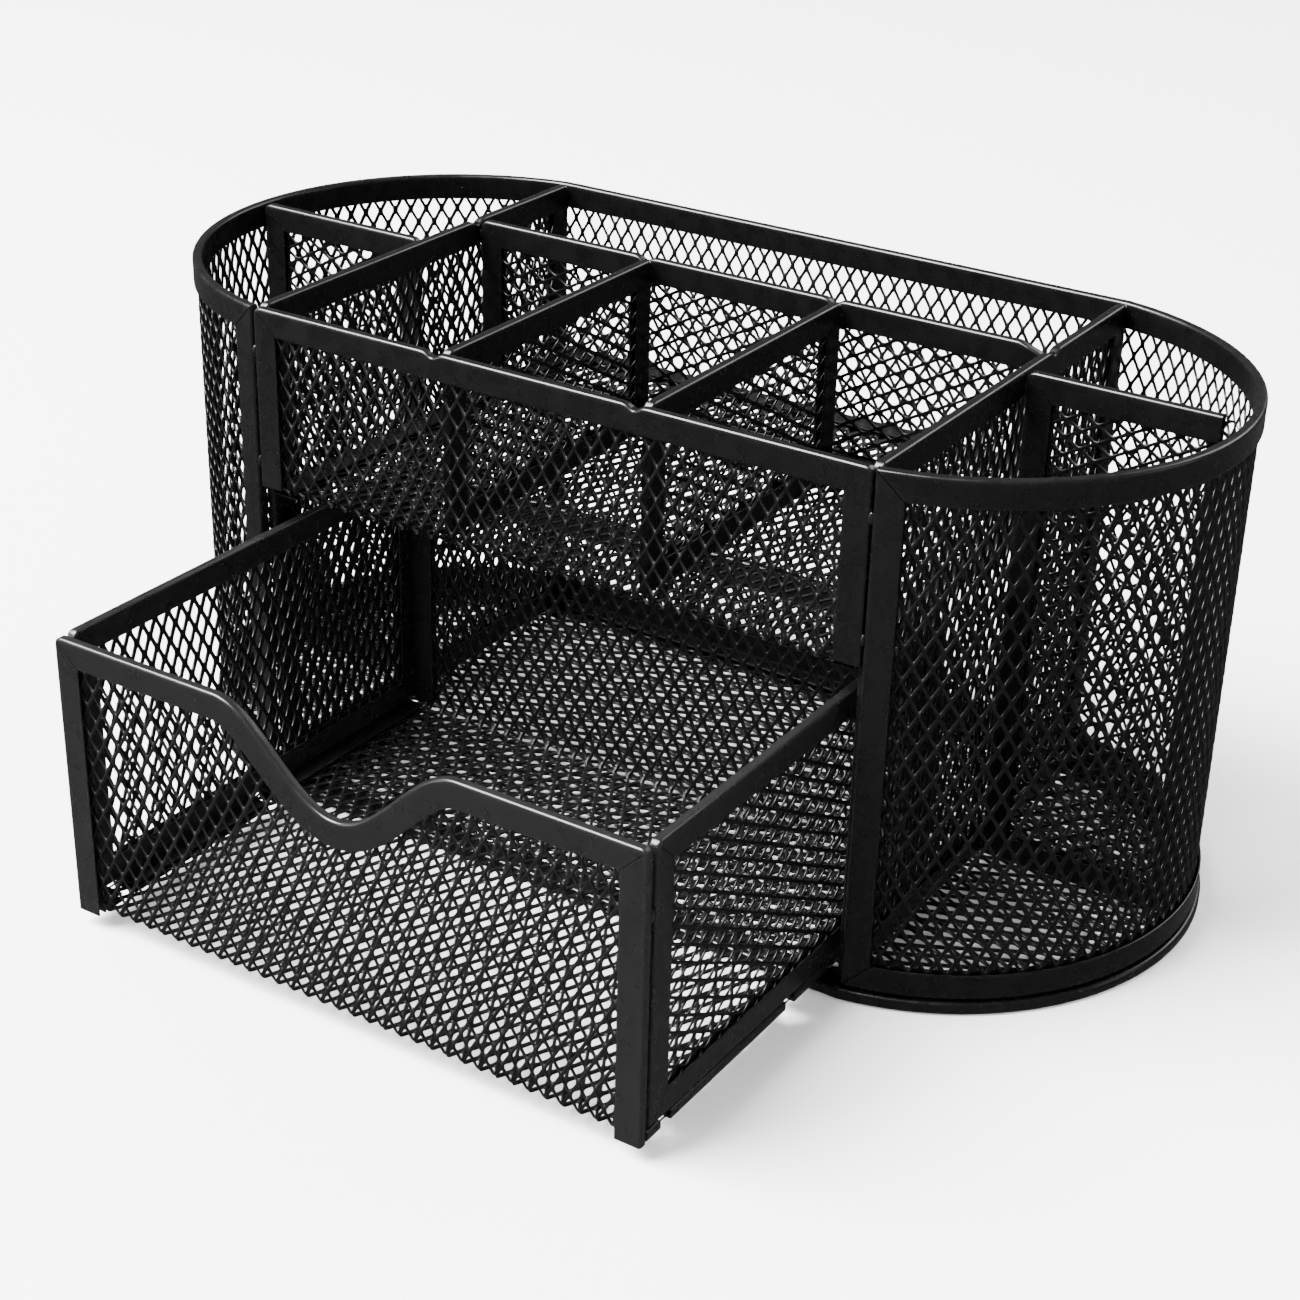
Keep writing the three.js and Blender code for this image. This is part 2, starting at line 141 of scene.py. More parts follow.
@dataclass(frozen=True)
class Polyline:
    """A line in plan, with a direction pointing out to its right at every point.

    Attributes:
        points: The line's corners, one row of x and y each.
        closed: Whether the last corner joins the first.
    """

    points: Array
    closed: bool = False

    def _ring(self) -> Array:
        """The corners, with the first repeated at the end of a closed line."""
        return np.vstack([self.points, self.points[:1]]) if self.closed else self.points

    @property
    def steps(self) -> Array:
        """Distance along the line of each corner."""
        lengths = np.linalg.norm(np.diff(self._ring(), axis=0), axis=1)
        return np.concatenate([[0.0], np.cumsum(lengths)])

    @property
    def length(self) -> float:
        """The whole length of the line."""
        return float(self.steps[-1])

    def _outward(self) -> Array:
        """The mitred direction at each corner, so that offsets keep their distance."""
        ring = self._ring()
        travel = np.diff(ring, axis=0)
        travel /= np.linalg.norm(travel, axis=1)[:, None]
        right = np.column_stack([travel[:, 1], -travel[:, 0]])
        before = np.vstack([right[-1:] if self.closed else right[:1], right])
        after = np.vstack([right, right[:1] if self.closed else right[-1:]])
        both = before + after
        return both / (1 + np.sum(before * after, axis=1))[:, None]

    def at(self, s: Array) -> tuple[Array, Array]:
        """Finds points along the line.

        Args:
            s: Distances along the line.

        Returns:
            The positions and the directions out to the right.
        """
        ring, outward, steps = self._ring(), self._outward(), self.steps
        s = np.clip(s, 0.0, steps[-1])
        spots = np.column_stack([np.interp(s, steps, ring[:, i]) for i in (0, 1)])
        sides = np.column_stack([np.interp(s, steps, outward[:, i]) for i in (0, 1)])
        return spots, sides


# ---- Sheets of expanded metal ---------------------------------------------------------


class Surface(ABC):
    """Where a sheet lies: a map from its own plane to the model's space."""

    @abstractmethod
    def place(self, s: Array, t: Array) -> tuple[Array, Array]:
        """Finds points of the sheet.

        Args:
            s: Distances across the sheet.
            t: Distances along it.

        Returns:
            The positions and the directions out of its face, one row each.
        """


@dataclass(frozen=True)
class FlatSurface(Surface):
    """A flat sheet.

    Attributes:
        origin: Where s and t are zero.
        across: Unit direction of s.
        along: Unit direction of t.
    """

    origin: Vector
    across: Vector
    along: Vector

    def place(self, s: Array, t: Array) -> tuple[Array, Array]:
        """See Surface."""
        spots = np.array(self.origin) + np.outer(s, self.across) + np.outer(t, self.along)
        return spots, np.tile(np.array(self.across.cross(self.along)), (len(s), 1))


@dataclass(frozen=True)
class WallSurface(Surface):
    """A sheet standing on a line in plan, where s follows the line and t is the height."""

    line: Polyline

    def place(self, s: Array, t: Array) -> tuple[Array, Array]:
        """See Surface."""
        spots, sides = self.line.at(s)
        return np.column_stack([spots, t]), np.column_stack([sides, np.zeros(len(s))])


@dataclass(frozen=True)
class BentSurface(Surface):
    """A sheet that stands in front, turns back at its foot and becomes a floor.

    Here s is x, and t is the height over the bend where it is above zero, and the way
    round the bend and back along the floor where it is below zero. A floor of a given
    depth ends in a second bend, where the sheet turns up again.

    Attributes:
        front_y: Depth of the standing part.
        floor_z: Height of the floor.
        radius: Radius of the bends.
        flat: Depth of the flat floor between the two bends.
    """

    front_y: float
    floor_z: float
    radius: float
    flat: float = math.inf

    @property
    def bend_length(self) -> float:
        """The way round one bend."""
        return self.radius * math.pi / 2

    def place(self, s: Array, t: Array) -> tuple[Array, Array]:
        """See Surface."""
        r = self.radius
        down = np.clip(-t / r, 0.0, math.pi / 2)
        back = np.clip(-t - self.bend_length, 0.0, self.flat)
        past = np.clip(-t - self.bend_length - self.flat, 0.0, None)
        up = np.clip(past / r, 0.0, math.pi / 2)
        y = self.front_y + r * (1 - np.cos(down)) + back + r * np.sin(up)
        z = self.floor_z + r * (2 - np.sin(down) - np.cos(up)) + np.clip(t, 0.0, None)
        z += np.clip(past - self.bend_length, 0.0, None)
        turn = down + up
        sides = np.column_stack([np.zeros(len(s)), -np.cos(turn), -np.sin(turn)])
        return np.column_stack([s, y, z]), sides


class Region(ABC):
    """The stretch of a sheet's plane that the sheet fills."""

    @property
    @abstractmethod
    def bounds(self) -> tuple[float, float, float, float]:
        """Lowest s, highest s, lowest t and highest t."""

    @abstractmethod
    def clamp(self, s: Array, t: Array) -> tuple[Array, Array]:
        """Moves points that are outside the region onto its edge."""


@dataclass(frozen=True)
class Rectangle(Region):
    """A region with four square corners."""

    s_low: float
    s_high: float
    t_low: float
    t_high: float

    @property
    def bounds(self) -> tuple[float, float, float, float]:
        """See Region."""
        return self.s_low, self.s_high, self.t_low, self.t_high

    def clamp(self, s: Array, t: Array) -> tuple[Array, Array]:
        """See Region."""
        return np.clip(s, self.s_low, self.s_high), np.clip(t, self.t_low, self.t_high)


@dataclass(frozen=True)
class ScoopedRectangle(Rectangle):
    """A rectangle whose top edge follows a function of s, and whose foot is narrower.

    Attributes:
        top: Gives the top edge's t from s.
        foot_t: Where the narrower foot starts.
        foot_half: Half the width of the foot.
    """

    top: Callable[[Array], Array] = np.zeros_like
    foot_t: float = -math.inf
    foot_half: float = math.inf

    def clamp(self, s: Array, t: Array) -> tuple[Array, Array]:
        """See Region."""
        s = np.clip(s, self.s_low, self.s_high)
        t = np.clip(t, self.t_low, self.top(s))
        return np.where(t < self.foot_t, np.clip(s, -self.foot_half, self.foot_half), s), t


@dataclass(frozen=True)
class RoundEnded(Region):
    """A region between two straight sides and two arcs, centred on x = 0.

    Attributes:
        centre_x: Distance of each arc's centre from the middle.
        radius: Radius of the arcs.
        half_depth: Half the distance between the straight sides.
    """

    centre_x: float
    radius: float
    half_depth: float

    @property
    def bounds(self) -> tuple[float, float, float, float]:
        """See Region."""
        reach = self.centre_x + self.radius
        return -reach, reach, -self.half_depth, self.half_depth

    def clamp(self, s: Array, t: Array) -> tuple[Array, Array]:
        """See Region."""
        t = np.clip(t, -self.half_depth, self.half_depth)
        reach = self.centre_x + np.sqrt(np.maximum(self.radius**2 - t**2, 0.0))
        return np.clip(s, -reach, reach), t


# Just inside a diamond's four corners, in half-pitches from its middle.
NEAR_CORNERS = ((0.999, 0), (-0.999, 0), (0, 0.999), (0, -0.999))
# A point that a region moves by less than this is inside it.
TOUCH = 1e-7
# Margin round a sheet's map, and width of each face's half of it.
MAP_MARGIN, MAP_HALF = 0.01, 0.47


@dataclass(frozen=True)
class ExpandedMetal:
    """Steel that was slit and pulled open into diamonds.

    Attributes:
        short_pitch: Distance between diamonds the short way.
        long_pitch: Distance between diamonds the long way.
        strand: Width of the metal between two diamonds.
        thickness: Thickness of the coated strand.
        tilt: How far a strand's edges stand off the sheet's plane.
        waver: How far the crossings stray from their places.
        snub: Share of an opening's corners that the joins of the strands fill.
        seed: Seed of the strays.
    """

    short_pitch: float = 3.45 * MM
    long_pitch: float = 6.15 * MM
    strand: float = 0.62 * MM
    thickness: float = 0.36 * MM
    tilt: float = 0.16 * MM
    waver: float = 0.05 * MM
    snub: float = 0.12
    seed: int = 7

    def _hole(self) -> tuple[Array, Array]:
        """The corners of a diamond's opening, from the right round to the left and back."""
        a, b = self.short_pitch / 2, self.long_pitch / 2
        reach = a * b / math.hypot(a, b)
        share = (reach - self.strand / 2) / reach
        near, far = self.snub, 1 - self.snub
        u = a * share * np.array([far, near, -near, -far, -far, -near, near, far])
        v = b * share * np.array([near, far, far, near, -near, -far, -far, -near])
        return u, v

    def _cells(self, region: Region, way: LongWay) -> Array:
        """Picks the diamonds that the region holds, as whole half-steps from its middle."""
        s_low, s_high, t_low, t_high = region.bounds
        if way is LongWay.ACROSS:
            s_low, s_high, t_low, t_high = t_low, t_high, s_low, s_high
        a, b = self.short_pitch / 2, self.long_pitch / 2
        mid_u, mid_v = (s_low + s_high) / 2, (t_low + t_high) / 2
        count_u = int((s_high - s_low) / a / 2) + 3
        count_v = int((t_high - t_low) / b / 2) + 3
        i, j = np.meshgrid(np.arange(-count_u, count_u + 1), np.arange(-count_v, count_v + 1))
        cells = np.column_stack([i.ravel(), j.ravel()])
        cells = cells[(cells.sum(axis=1) % 2) == 0]
        kept = np.zeros(len(cells), bool)
        for du, dv in NEAR_CORNERS:
            u = mid_u + (cells[:, 0] + du) * a
            v = mid_v + (cells[:, 1] + dv) * b
            s, t = (u, v) if way is LongWay.UP else (v, u)
            held_s, held_t = region.clamp(s, t)
            kept |= (np.abs(held_s - s) < TOUCH) & (np.abs(held_t - t) < TOUCH)
        return cells[kept]

    def build(self, name: str, surface: Surface, region: Region, way: LongWay) -> bpy.types.Object:
        """Makes a sheet.

        Args:
            name: The object's name.
            surface: Where the sheet lies.
            region: How far it reaches.
            way: Which way its diamonds are long.

        Returns:
            The sheet's object, with a map of its two faces.
        """
        cells = self._cells(region, way)
        s_low, s_high, t_low, t_high = region.bounds
        middle = np.array([(s_low + s_high) / 2, (t_low + t_high) / 2])
        if way is LongWay.ACROSS:
            middle = middle[::-1]
        half = np.array([self.short_pitch, self.long_pitch]) / 2
        around = np.array([[1, 0], [0, 1], [-1, 0], [0, -1]])
        corners = (cells[:, None, :] + around[None]).reshape(-1, 2)
        knots, numbers = np.unique(corners, axis=0, return_inverse=True)
        numbers = numbers.reshape(-1, 4)
        chance = np.random.default_rng(self.seed)
        stray = chance.normal(0.0, self.waver, (len(knots), 3)).clip(-2 * self.waver, 2 * self.waver)
        knot_spots = middle + knots * half + stray[:, :2]
        hole_u, hole_v = self._hole()
        centre = middle + cells * half + stray[numbers].mean(axis=1)[:, :2]
        hole_spots = centre[:, None, :] + np.column_stack([hole_u, hole_v])[None]
        lean = np.tile(-self.tilt * hole_u / np.abs(hole_u).max(), len(cells))
        flat = np.vstack([knot_spots, hole_spots.reshape(-1, 2)])
        rise = np.concatenate([stray[:, 2], lean])
        s, t = (flat[:, 0], flat[:, 1]) if way is LongWay.UP else (flat[:, 1], flat[:, 0])
        s, t = region.clamp(s, t)
        spots, sides = surface.place(s, t)
        front = spots + sides * (rise + self.thickness / 2)[:, None]
        back = spots + sides * (rise - self.thickness / 2)[:, None]
        faces = self._faces(numbers, len(knots), len(flat), way)
        shell = Shell()
        shell.add(np.vstack([front, back]), faces)
        made = shell.to_object(name, crease_deg=180.0)
        self._map_faces(made, np.column_stack([s, t]), region.bounds)
        return made

    @staticmethod
    def _faces(knots: Array, first_hole: int, back: int, way: LongWay) -> list[tuple[int, ...]]:
        """Joins each diamond's four crossings to the eight corners of its opening.

        Args:
            knots: Numbers of the crossings, four to a diamond.
            first_hole: Number of the first opening's first corner.
            back: How many points the front face has.
            way: Which way the diamonds are long, which settles the winding.

        Returns:
            The faces of the front, the back and the openings' walls.
        """
        holes = first_hole + np.arange(len(knots) * 8).reshape(-1, 8)
        right, top, left, bottom = knots.T
        h = holes.T
        front = [
            (right, h[0], h[7]), (top, h[2], h[1]), (left, h[4], h[3]), (bottom, h[6], h[5]),
            (right, top, h[1], h[0]), (top, left, h[3], h[2]),
            (left, bottom, h[5], h[4]), (bottom, right, h[7], h[6]),
        ]
        walls = [(h[i], h[(i + 1) % 8], h[(i + 1) % 8] + back, h[i] + back) for i in range(8)]
        if way is LongWay.ACROSS:
            front = [face[::-1] for face in front]
            walls = [face[::-1] for face in walls]
        behind = [tuple(index + back for index in face[::-1]) for face in front]
        columns = [np.column_stack(face) for face in [*front, *behind, *walls]]
        return [tuple(row) for column in columns for row in column.tolist()]

    @staticmethod
    def _map_faces(made: bpy.types.Object, flat: Array, bounds: tuple[float, ...]) -> None:
        """Lays the front in one half of a map and the back in the other.

        Args:
            made: The sheet's object.
            flat: The front's points in the sheet's plane.
            bounds: How far the sheet reaches.
        """
        s_low, s_high, t_low, t_high = bounds
        u = (flat[:, 0] - s_low) / (s_high - s_low)
        v = (flat[:, 1] - t_low) / (t_high - t_low)
        u = np.concatenate([MAP_MARGIN + MAP_HALF * u, 1 - MAP_MARGIN - MAP_HALF * (1 - u)])
        spots = np.column_stack([u, np.tile(MAP_MARGIN + (1 - 2 * MAP_MARGIN) * v, 2)])
        numbers = np.zeros(len(made.data.loops), np.int32)
        made.data.loops.foreach_get("vertex_index", numbers)
        layer = made.data.uv_layers.new(name="OFBake")
        layer.data.foreach_set("uv", spots[numbers].astype(np.float32).ravel())


# ---- Folded strips --------------------------------------------------------------------

# How far to each side of a dent sections are laid close together, in widths of the dent.
DENT_REACH = 1.2
# How many sections show a dent, and how many a rounded corner.
DENT_STATIONS, CORNER_STATIONS = 17, 9
# Where sections show the bend of a drooping end, as shares of its reach.
KNEE = (0.97, 1.0, 1.03)
# Points of a section round each edge of the fold, and round the lip of each leg.
FOLD_POINTS, LIP_POINTS = 6, 5


@dataclass(frozen=True)
class Dent:
    """A place where the welding tongs pinched a strip.

    Attributes:
        place: Distance along the strip.
        depth: How far the fold is pushed in.
        width: Width of the dent.
    """

    place: float
    depth: float = 0.9 * MM
    width: float = 2.6 * MM

    def press(self, u: Array) -> Array:
        """How far the fold is pushed in, at distances along the strip."""
        return self.depth * np.exp(-(((u - self.place) / (self.width / 2)) ** 2))

    def stations(self) -> Array:
        """Distances along the strip where sections show the dent's shape."""
        return self.place + np.linspace(-DENT_REACH, DENT_REACH, DENT_STATIONS) * self.width


@dataclass(frozen=True)
class StripEnd:
    """How a strip stops.

    Attributes:
        mitre: How much the end runs back for each step in from the fold.
        rounding: Radius of the corner.
        droop: How far the fold bends down at the end.
        reach: Length of the stretch that droops.
    """

    mitre: float = 1.0
    rounding: float = 0.0
    droop: float = 0.0
    reach: float = 5.5 * MM

    def press(self, distance: Array) -> Array:
        """How far the fold is pushed in, at a distance from the end."""
        pushed = np.zeros_like(distance)
        if self.rounding:
            short = np.clip(self.rounding - distance, 0.0, self.rounding)
            pushed += self.rounding - np.sqrt(self.rounding**2 - short**2)
        if self.droop:
            pushed += self.droop * np.clip(1 - distance / self.reach, 0.0, 1.0)
        return pushed

    def stations(self) -> Array:
        """Distances from the end where sections show its shape."""
        corner = np.linspace(0.0, 2 * self.rounding, CORNER_STATIONS) if self.rounding else np.zeros(0)
        knee = np.array(KNEE) * self.reach if self.droop else np.zeros(0)
        return np.concatenate([corner, knee])


MITRED = StripEnd()
BUTTED = StripEnd(mitre=0.0)
ROUNDED = StripEnd(rounding=1.5 * MM)
Ends = tuple[StripEnd, StripEnd]
# How much longer a mitre's gap is along the strip than across the mitre.
MITRE_RUN = 1.4
# How rubbed a strip's cut ends are.
END_WEAR = 0.6


@dataclass(frozen=True)
class FoldedStrip:
    """A strip of sheet steel folded into a U over the edge of a sheet.

    Attributes:
        leg: Depth of the U.
        thickness: Width over both legs.
        metal: Thickness of the steel.
        fold: Radius of the two outer edges of the fold.
        fold_band: Width of the rubbed band beside the fold.
        lip_band: Width of the rubbed band beside each leg's lip.
        seam: Half the gap left where two strips meet.
    """

    leg: float = 5.2 * MM
    thickness: float = 2.0 * MM
    metal: float = 0.4 * MM
    fold: float = 0.55 * MM
    fold_band: float = 0.5 * MM
    lip_band: float = 0.35 * MM
    seam: float = 0.09 * MM

    def section(self) -> tuple[Array, Array, Array]:
        """The strip's section.

        Returns:
            Distance in from the fold, distance out of the sheet's plane, and wear, for each
            corner of the closed outline.
        """
        half, r, lip = self.thickness / 2, self.fold, self.metal / 2
        turns = np.linspace(0.0, math.pi / 2, FOLD_POINTS)
        outer = [(r - r * math.cos(t), half - r + r * math.sin(t), 1.0) for t in turns]
        outer.append((r + self.fold_band, half, 0.0))
        outer.append((self.leg - lip - self.lip_band, half, 0.0))
        ends = np.linspace(0.0, math.pi, LIP_POINTS)
        centre = half - lip
        outer += [(self.leg - lip + lip * math.sin(t), centre + lip * math.cos(t), 1.0) for t in ends]
        upper = [*outer, (self.metal, half - self.metal, 0.0)]
        lower = [(a, -b, w) for a, b, w in reversed(upper)]
        a, b, wear = np.array(upper + lower).T
        return a, b, wear

    @staticmethod
    def _shares(length: float, ends: Ends, dents: tuple[Dent, ...], stations: int) -> Array:
        """Chooses where sections are laid, closer together at rounded ends and dents."""
        shares = [np.linspace(0.0, 1.0, stations), ends[0].stations() / length]
        shares.append(1 - ends[1].stations() / length)
        shares += [dent.stations() / length for dent in dents]
        return np.unique(np.concatenate(shares).clip(0.0, 1.0).round(6))

    def sweep(self, shell: Shell, place: Place, span: tuple[float, float], *, stations: int = 2,
              ends: Ends = (MITRED, MITRED), dents: tuple[Dent, ...] = ()) -> None:
        """Draws the section along a path.

        Args:
            shell: The mesh that takes the strip.
            place: Gives positions from the distance along the path, in from the fold and
                out of the sheet's plane.
            span: Where the path starts and ends.
            stations: How many sections are laid at least.
            ends: How each end stops.
            dents: Where the strip is pinched.
        """
        a, b, wear = self.section()
        low = span[0] + ends[0].mitre * (a + MITRE_RUN * self.seam)
        high = span[1] - ends[1].mitre * (a + MITRE_RUN * self.seam)
        shares = self._shares(span[1] - span[0], ends, dents, stations)
        u = (np.outer(1 - shares, low) + np.outer(shares, high)).ravel()
        in_from_fold = np.tile(a, len(shares))
        pushed = ends[0].press(u - span[0]) + ends[1].press(span[1] - u)
        for dent in dents:
            pushed += dent.press(u)
        in_from_fold = in_from_fold + pushed * (1 - in_from_fold / self.leg)
        points = place(u, in_from_fold, np.tile(b, len(shares)))
        n, rings = len(a), len(shares)
        faces = self._tube(n, rings, closed=False)
        faces += [tuple(range(n))[::-1], tuple((rings - 1) * n + i for i in range(n))]
        rubbed = np.tile(wear, (rings, 1))
        rubbed[[0, -1]] = np.maximum(rubbed[[0, -1]], END_WEAR)
        shell.add(points, faces, rubbed.ravel())

    def loop(self, shell: Shell, place: Place, length: float, stations: int) -> None:
        """Draws the section along a path that comes back to its start.

        Args:
            shell: The mesh that takes the strip.
            place: As in sweep.
            length: Length of the path.
            stations: How many sections are laid.
        """
        a, b, wear = self.section()
        u = np.repeat(np.linspace(0.0, length, stations + 1)[:-1], len(a))
        points = place(u, np.tile(a, stations), np.tile(b, stations))
        shell.add(points, self._tube(len(a), stations, closed=True), np.tile(wear, stations))

    @staticmethod
    def _tube(n: int, rings: int, *, closed: bool) -> list[tuple[int, ...]]:
        """Joins each section to the next with quads."""
        faces: list[tuple[int, ...]] = []
        for k in range(rings if closed else rings - 1):
            here, there = k * n, ((k + 1) % rings) * n
            for i in range(n):
                j = (i + 1) % n
                faces.append((here + i, here + j, there + j, there + i))
        return faces


def straight(origin: Vector, along: Vector, inward: Vector, out: Vector) -> Place:
    """A straight path for a strip.

    Args:
        origin: Where the path starts, on the fold.
        along: Unit direction of the path.
        inward: Unit direction from the fold into the sheet.
        out: Unit direction out of the sheet's plane.

    Returns:
        The function that places the strip's points.
    """

    def place(u: Array, a: Array, b: Array) -> Array:
        """Places points by their three distances."""
        return np.array(origin) + np.outer(u, along) + np.outer(a, inward) + np.outer(b, out)

    return place


# ---- Finishes, and the drawer's coats painted lighter as painted light ----------------

# The stretch of a noise's values that nearly all of a surface has.
NOISE_RANGE = (0.3, 0.7)


@dataclass(frozen=True)
class PowderCoat:
    """A baked coat of black powder paint on steel.

    Attributes:
        name: Name of the material.
        colour: Colour of the coat.
        rubbed: Colour where an edge is thinly covered.
        roughness: Lowest and highest roughness over the surface.
        grain: Size of the coat's orange-peel grain.
        grain_depth: Height of the grain.
        dent: Height of the slow waves left by rolling and folding.
        wave: Size of those waves.
        patch: Size of the coat's paler patches.
        paler: How much lighter those patches are.
        speckle: Size of the spots where an edge is rubbed.
        smear: Size of the patches of different roughness.
        ior: Refraction index of the coat.
        sheen: How strongly the coat mirrors, where 0.5 is plain varnish.
    """

    name: str
    colour: tuple[float, float, float]
    rubbed: tuple[float, float, float]
    roughness: tuple[float, float]
    grain: float
    grain_depth: float
    dent: float
    wave: float = 20.0 * MM
    patch: float = 6.0 * MM
    paler: float = 1.35
    speckle: float = 1.1 * MM
    smear: float = 3.5 * MM
    ior: float = 1.45
    sheen: float = 0.45

    def material(self) -> bpy.types.Material:
        """Builds the material's nodes, or returns the one built before."""
        if self.name in bpy.data.materials:
            return bpy.data.materials[self.name]
        made = bpy.data.materials.new(self.name)
        made.use_nodes = True
        tree = made.node_tree
        shader = tree.nodes["Principled BSDF"]
        shader.inputs["Metallic"].default_value = 0.0
        shader.inputs["IOR"].default_value = self.ior
        shader.inputs["Specular IOR Level"].default_value = self.sheen
        where = tree.nodes.new("ShaderNodeTexCoord")
        patches = self._noise(tree, where, self.patch, detail=3.0)
        colour = self._blend(tree, patches, self.colour, tuple(c * self.paler for c in self.colour))
        edge = tree.nodes.new("ShaderNodeAttribute")
        edge.attribute_name = "wear"
        worn = tree.nodes.new("ShaderNodeMath")
        worn.operation = "MULTIPLY"
        tree.links.new(edge.outputs["Fac"], worn.inputs[0])
        tree.links.new(self._noise(tree, where, self.speckle, detail=4.0), worn.inputs[1])
        tinted = self._blend(tree, worn.outputs[0], colour, self.rubbed)
        tree.links.new(tinted, shader.inputs["Base Color"])
        gloss = tree.nodes.new("ShaderNodeMapRange")
        limits = (*NOISE_RANGE, *self.roughness)
        for socket, limit in zip(("From Min", "From Max", "To Min", "To Max"), limits, strict=True):
            gloss.inputs[socket].default_value = limit
        tree.links.new(self._noise(tree, where, self.smear, detail=5.0), gloss.inputs["Value"])
        tree.links.new(gloss.outputs["Result"], shader.inputs["Roughness"])
        waves = self._bump(tree, self._noise(tree, where, self.wave, detail=1.0), self.dent)
        peel = self._noise(tree, where, self.grain, detail=2.0)
        peel = self._bump(tree, peel, self.grain_depth, waves)
        tree.links.new(peel, shader.inputs["Normal"])
        return made

    @staticmethod
    def _noise(tree: bpy.types.NodeTree, where: bpy.types.Node, size: float, *,
               detail: float) -> bpy.types.NodeSocket:
        """Adds a noise whose lumps are about size across."""
        noise = tree.nodes.new("ShaderNodeTexNoise")
        noise.inputs["Scale"].default_value = 1.0 / size
        noise.inputs["Detail"].default_value = detail
        tree.links.new(where.outputs["Object"], noise.inputs["Vector"])
        return noise.outputs["Fac"]

    @staticmethod
    def _blend(tree: bpy.types.NodeTree, share: bpy.types.NodeSocket,
               a: bpy.types.NodeSocket | tuple[float, ...], b: tuple[float, ...]) -> bpy.types.NodeSocket:
        """Adds a mix of a colour, or of what a socket gives, with another colour."""
        mix = tree.nodes.new("ShaderNodeMix")
        mix.data_type = "RGBA"
        tree.links.new(share, mix.inputs["Factor"])
        if isinstance(a, bpy.types.NodeSocket):
            tree.links.new(a, mix.inputs["A"])
        else:
            mix.inputs["A"].default_value = (*a, 1.0)
        mix.inputs["B"].default_value = (*b, 1.0)
        return mix.outputs["Result"]

    @staticmethod
    def _bump(tree: bpy.types.NodeTree, height: bpy.types.NodeSocket, depth: float,
              under: bpy.types.NodeSocket | None = None) -> bpy.types.NodeSocket:
        """Adds a bump of a given depth, over another one where there is one."""
        bump = tree.nodes.new("ShaderNodeBump")
        bump.inputs["Strength"].default_value = 1.0
        bump.inputs["Distance"].default_value = depth
        tree.links.new(height, bump.inputs["Height"])
        if under is not None:
            tree.links.new(under, bump.inputs["Normal"])
        return bump.outputs["Normal"]


STRIP_COAT = PowderCoat("coated_strip", (0.0013, 0.0013, 0.0014), (0.003, 0.003, 0.003),
                        (0.22, 0.34), 0.45 * MM, 0.004 * MM, 0.06 * MM)
SHEET_COAT = PowderCoat("coated_mesh", (0.0012, 0.0012, 0.0013), (0.003, 0.003, 0.003),
                        (0.26, 0.4), 0.4 * MM, 0.012 * MM, 0.02 * MM)
# The drawer's two coats, rubbed colours included, are the organizer's coats painted lighter: painted
# light, for the drawer standing forward in more light.
DRAWER_STRIP_COAT_PAINTED_LIGHTER = PowderCoat("drawer_strip_coat_painted_lighter", (0.0032, 0.0032, 0.0033), (0.006, 0.006, 0.006),
                               (0.24, 0.36), 0.45 * MM, 0.004 * MM, 0.06 * MM)
DRAWER_SHEET_COAT_PAINTED_LIGHTER = PowderCoat("drawer_mesh_coat_painted_lighter", (0.0018, 0.0018, 0.0019), (0.004, 0.004, 0.004),
                               (0.28, 0.42), 0.4 * MM, 0.012 * MM, 0.02 * MM)
WELD_COAT = PowderCoat("coated_weld", (0.002, 0.002, 0.0021), (0.004, 0.004, 0.004),
                       (0.2, 0.32), 0.5 * MM, 0.04 * MM, 0.06 * MM)


@dataclass(frozen=True)
class Finish:
    """The coats of one body, where the drawer's coats are painted lighter as painted light.

    Attributes:
        strip: Coat of its folded strips.
        sheet: Coat of its expanded metal.
    """

    strip: PowderCoat
    sheet: PowderCoat


# The organizer's coats are its own; the drawer's are the same coats painted lighter, as painted light.
COATS_AND_PAINTED_LIGHT = {
    Body.ORGANIZER: Finish(STRIP_COAT, SHEET_COAT),
    Body.DRAWER: Finish(DRAWER_STRIP_COAT_PAINTED_LIGHTER, DRAWER_SHEET_COAT_PAINTED_LIGHTER),
}


def finish_piece(made: bpy.types.Object, body: Body, coat: PowderCoat, slot: str,
                 *nodes: str) -> bpy.types.Object:
    """Gives a piece its coat and its place in the model.

    Args:
        made: The piece.
        body: What it rides on.
        coat: Its finish.
        slot: The record's material slot; not used.
        nodes: The plain solids that it stands for.

    Returns:
        The piece.
    """
    made.data.materials.clear()
    made.data.materials.append(coat.material())
    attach(made, body.value)
    if nodes:
        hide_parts(*nodes)
    LOG.info("%s: %d faces", made.name, len(made.data.polygons))
    return made


# ---- Spot welds -----------------------------------------------------------------------

# Edges of a bead stay soft up to this turn, in degrees.
WELD_CREASE = 80.0
# Seeds of the beads' lumps. Where one is given for several beads, they count up from it.
POST_SEEDS = (3, 4, 8, 9)
CROSS_SEED = 20
DIVIDER_SEEDS = (40, 44)
DRAWER_FRONT_SEED = 60
DRAWER_BACK_SEED = 70
DRAWER_OUTER_SEED = 80


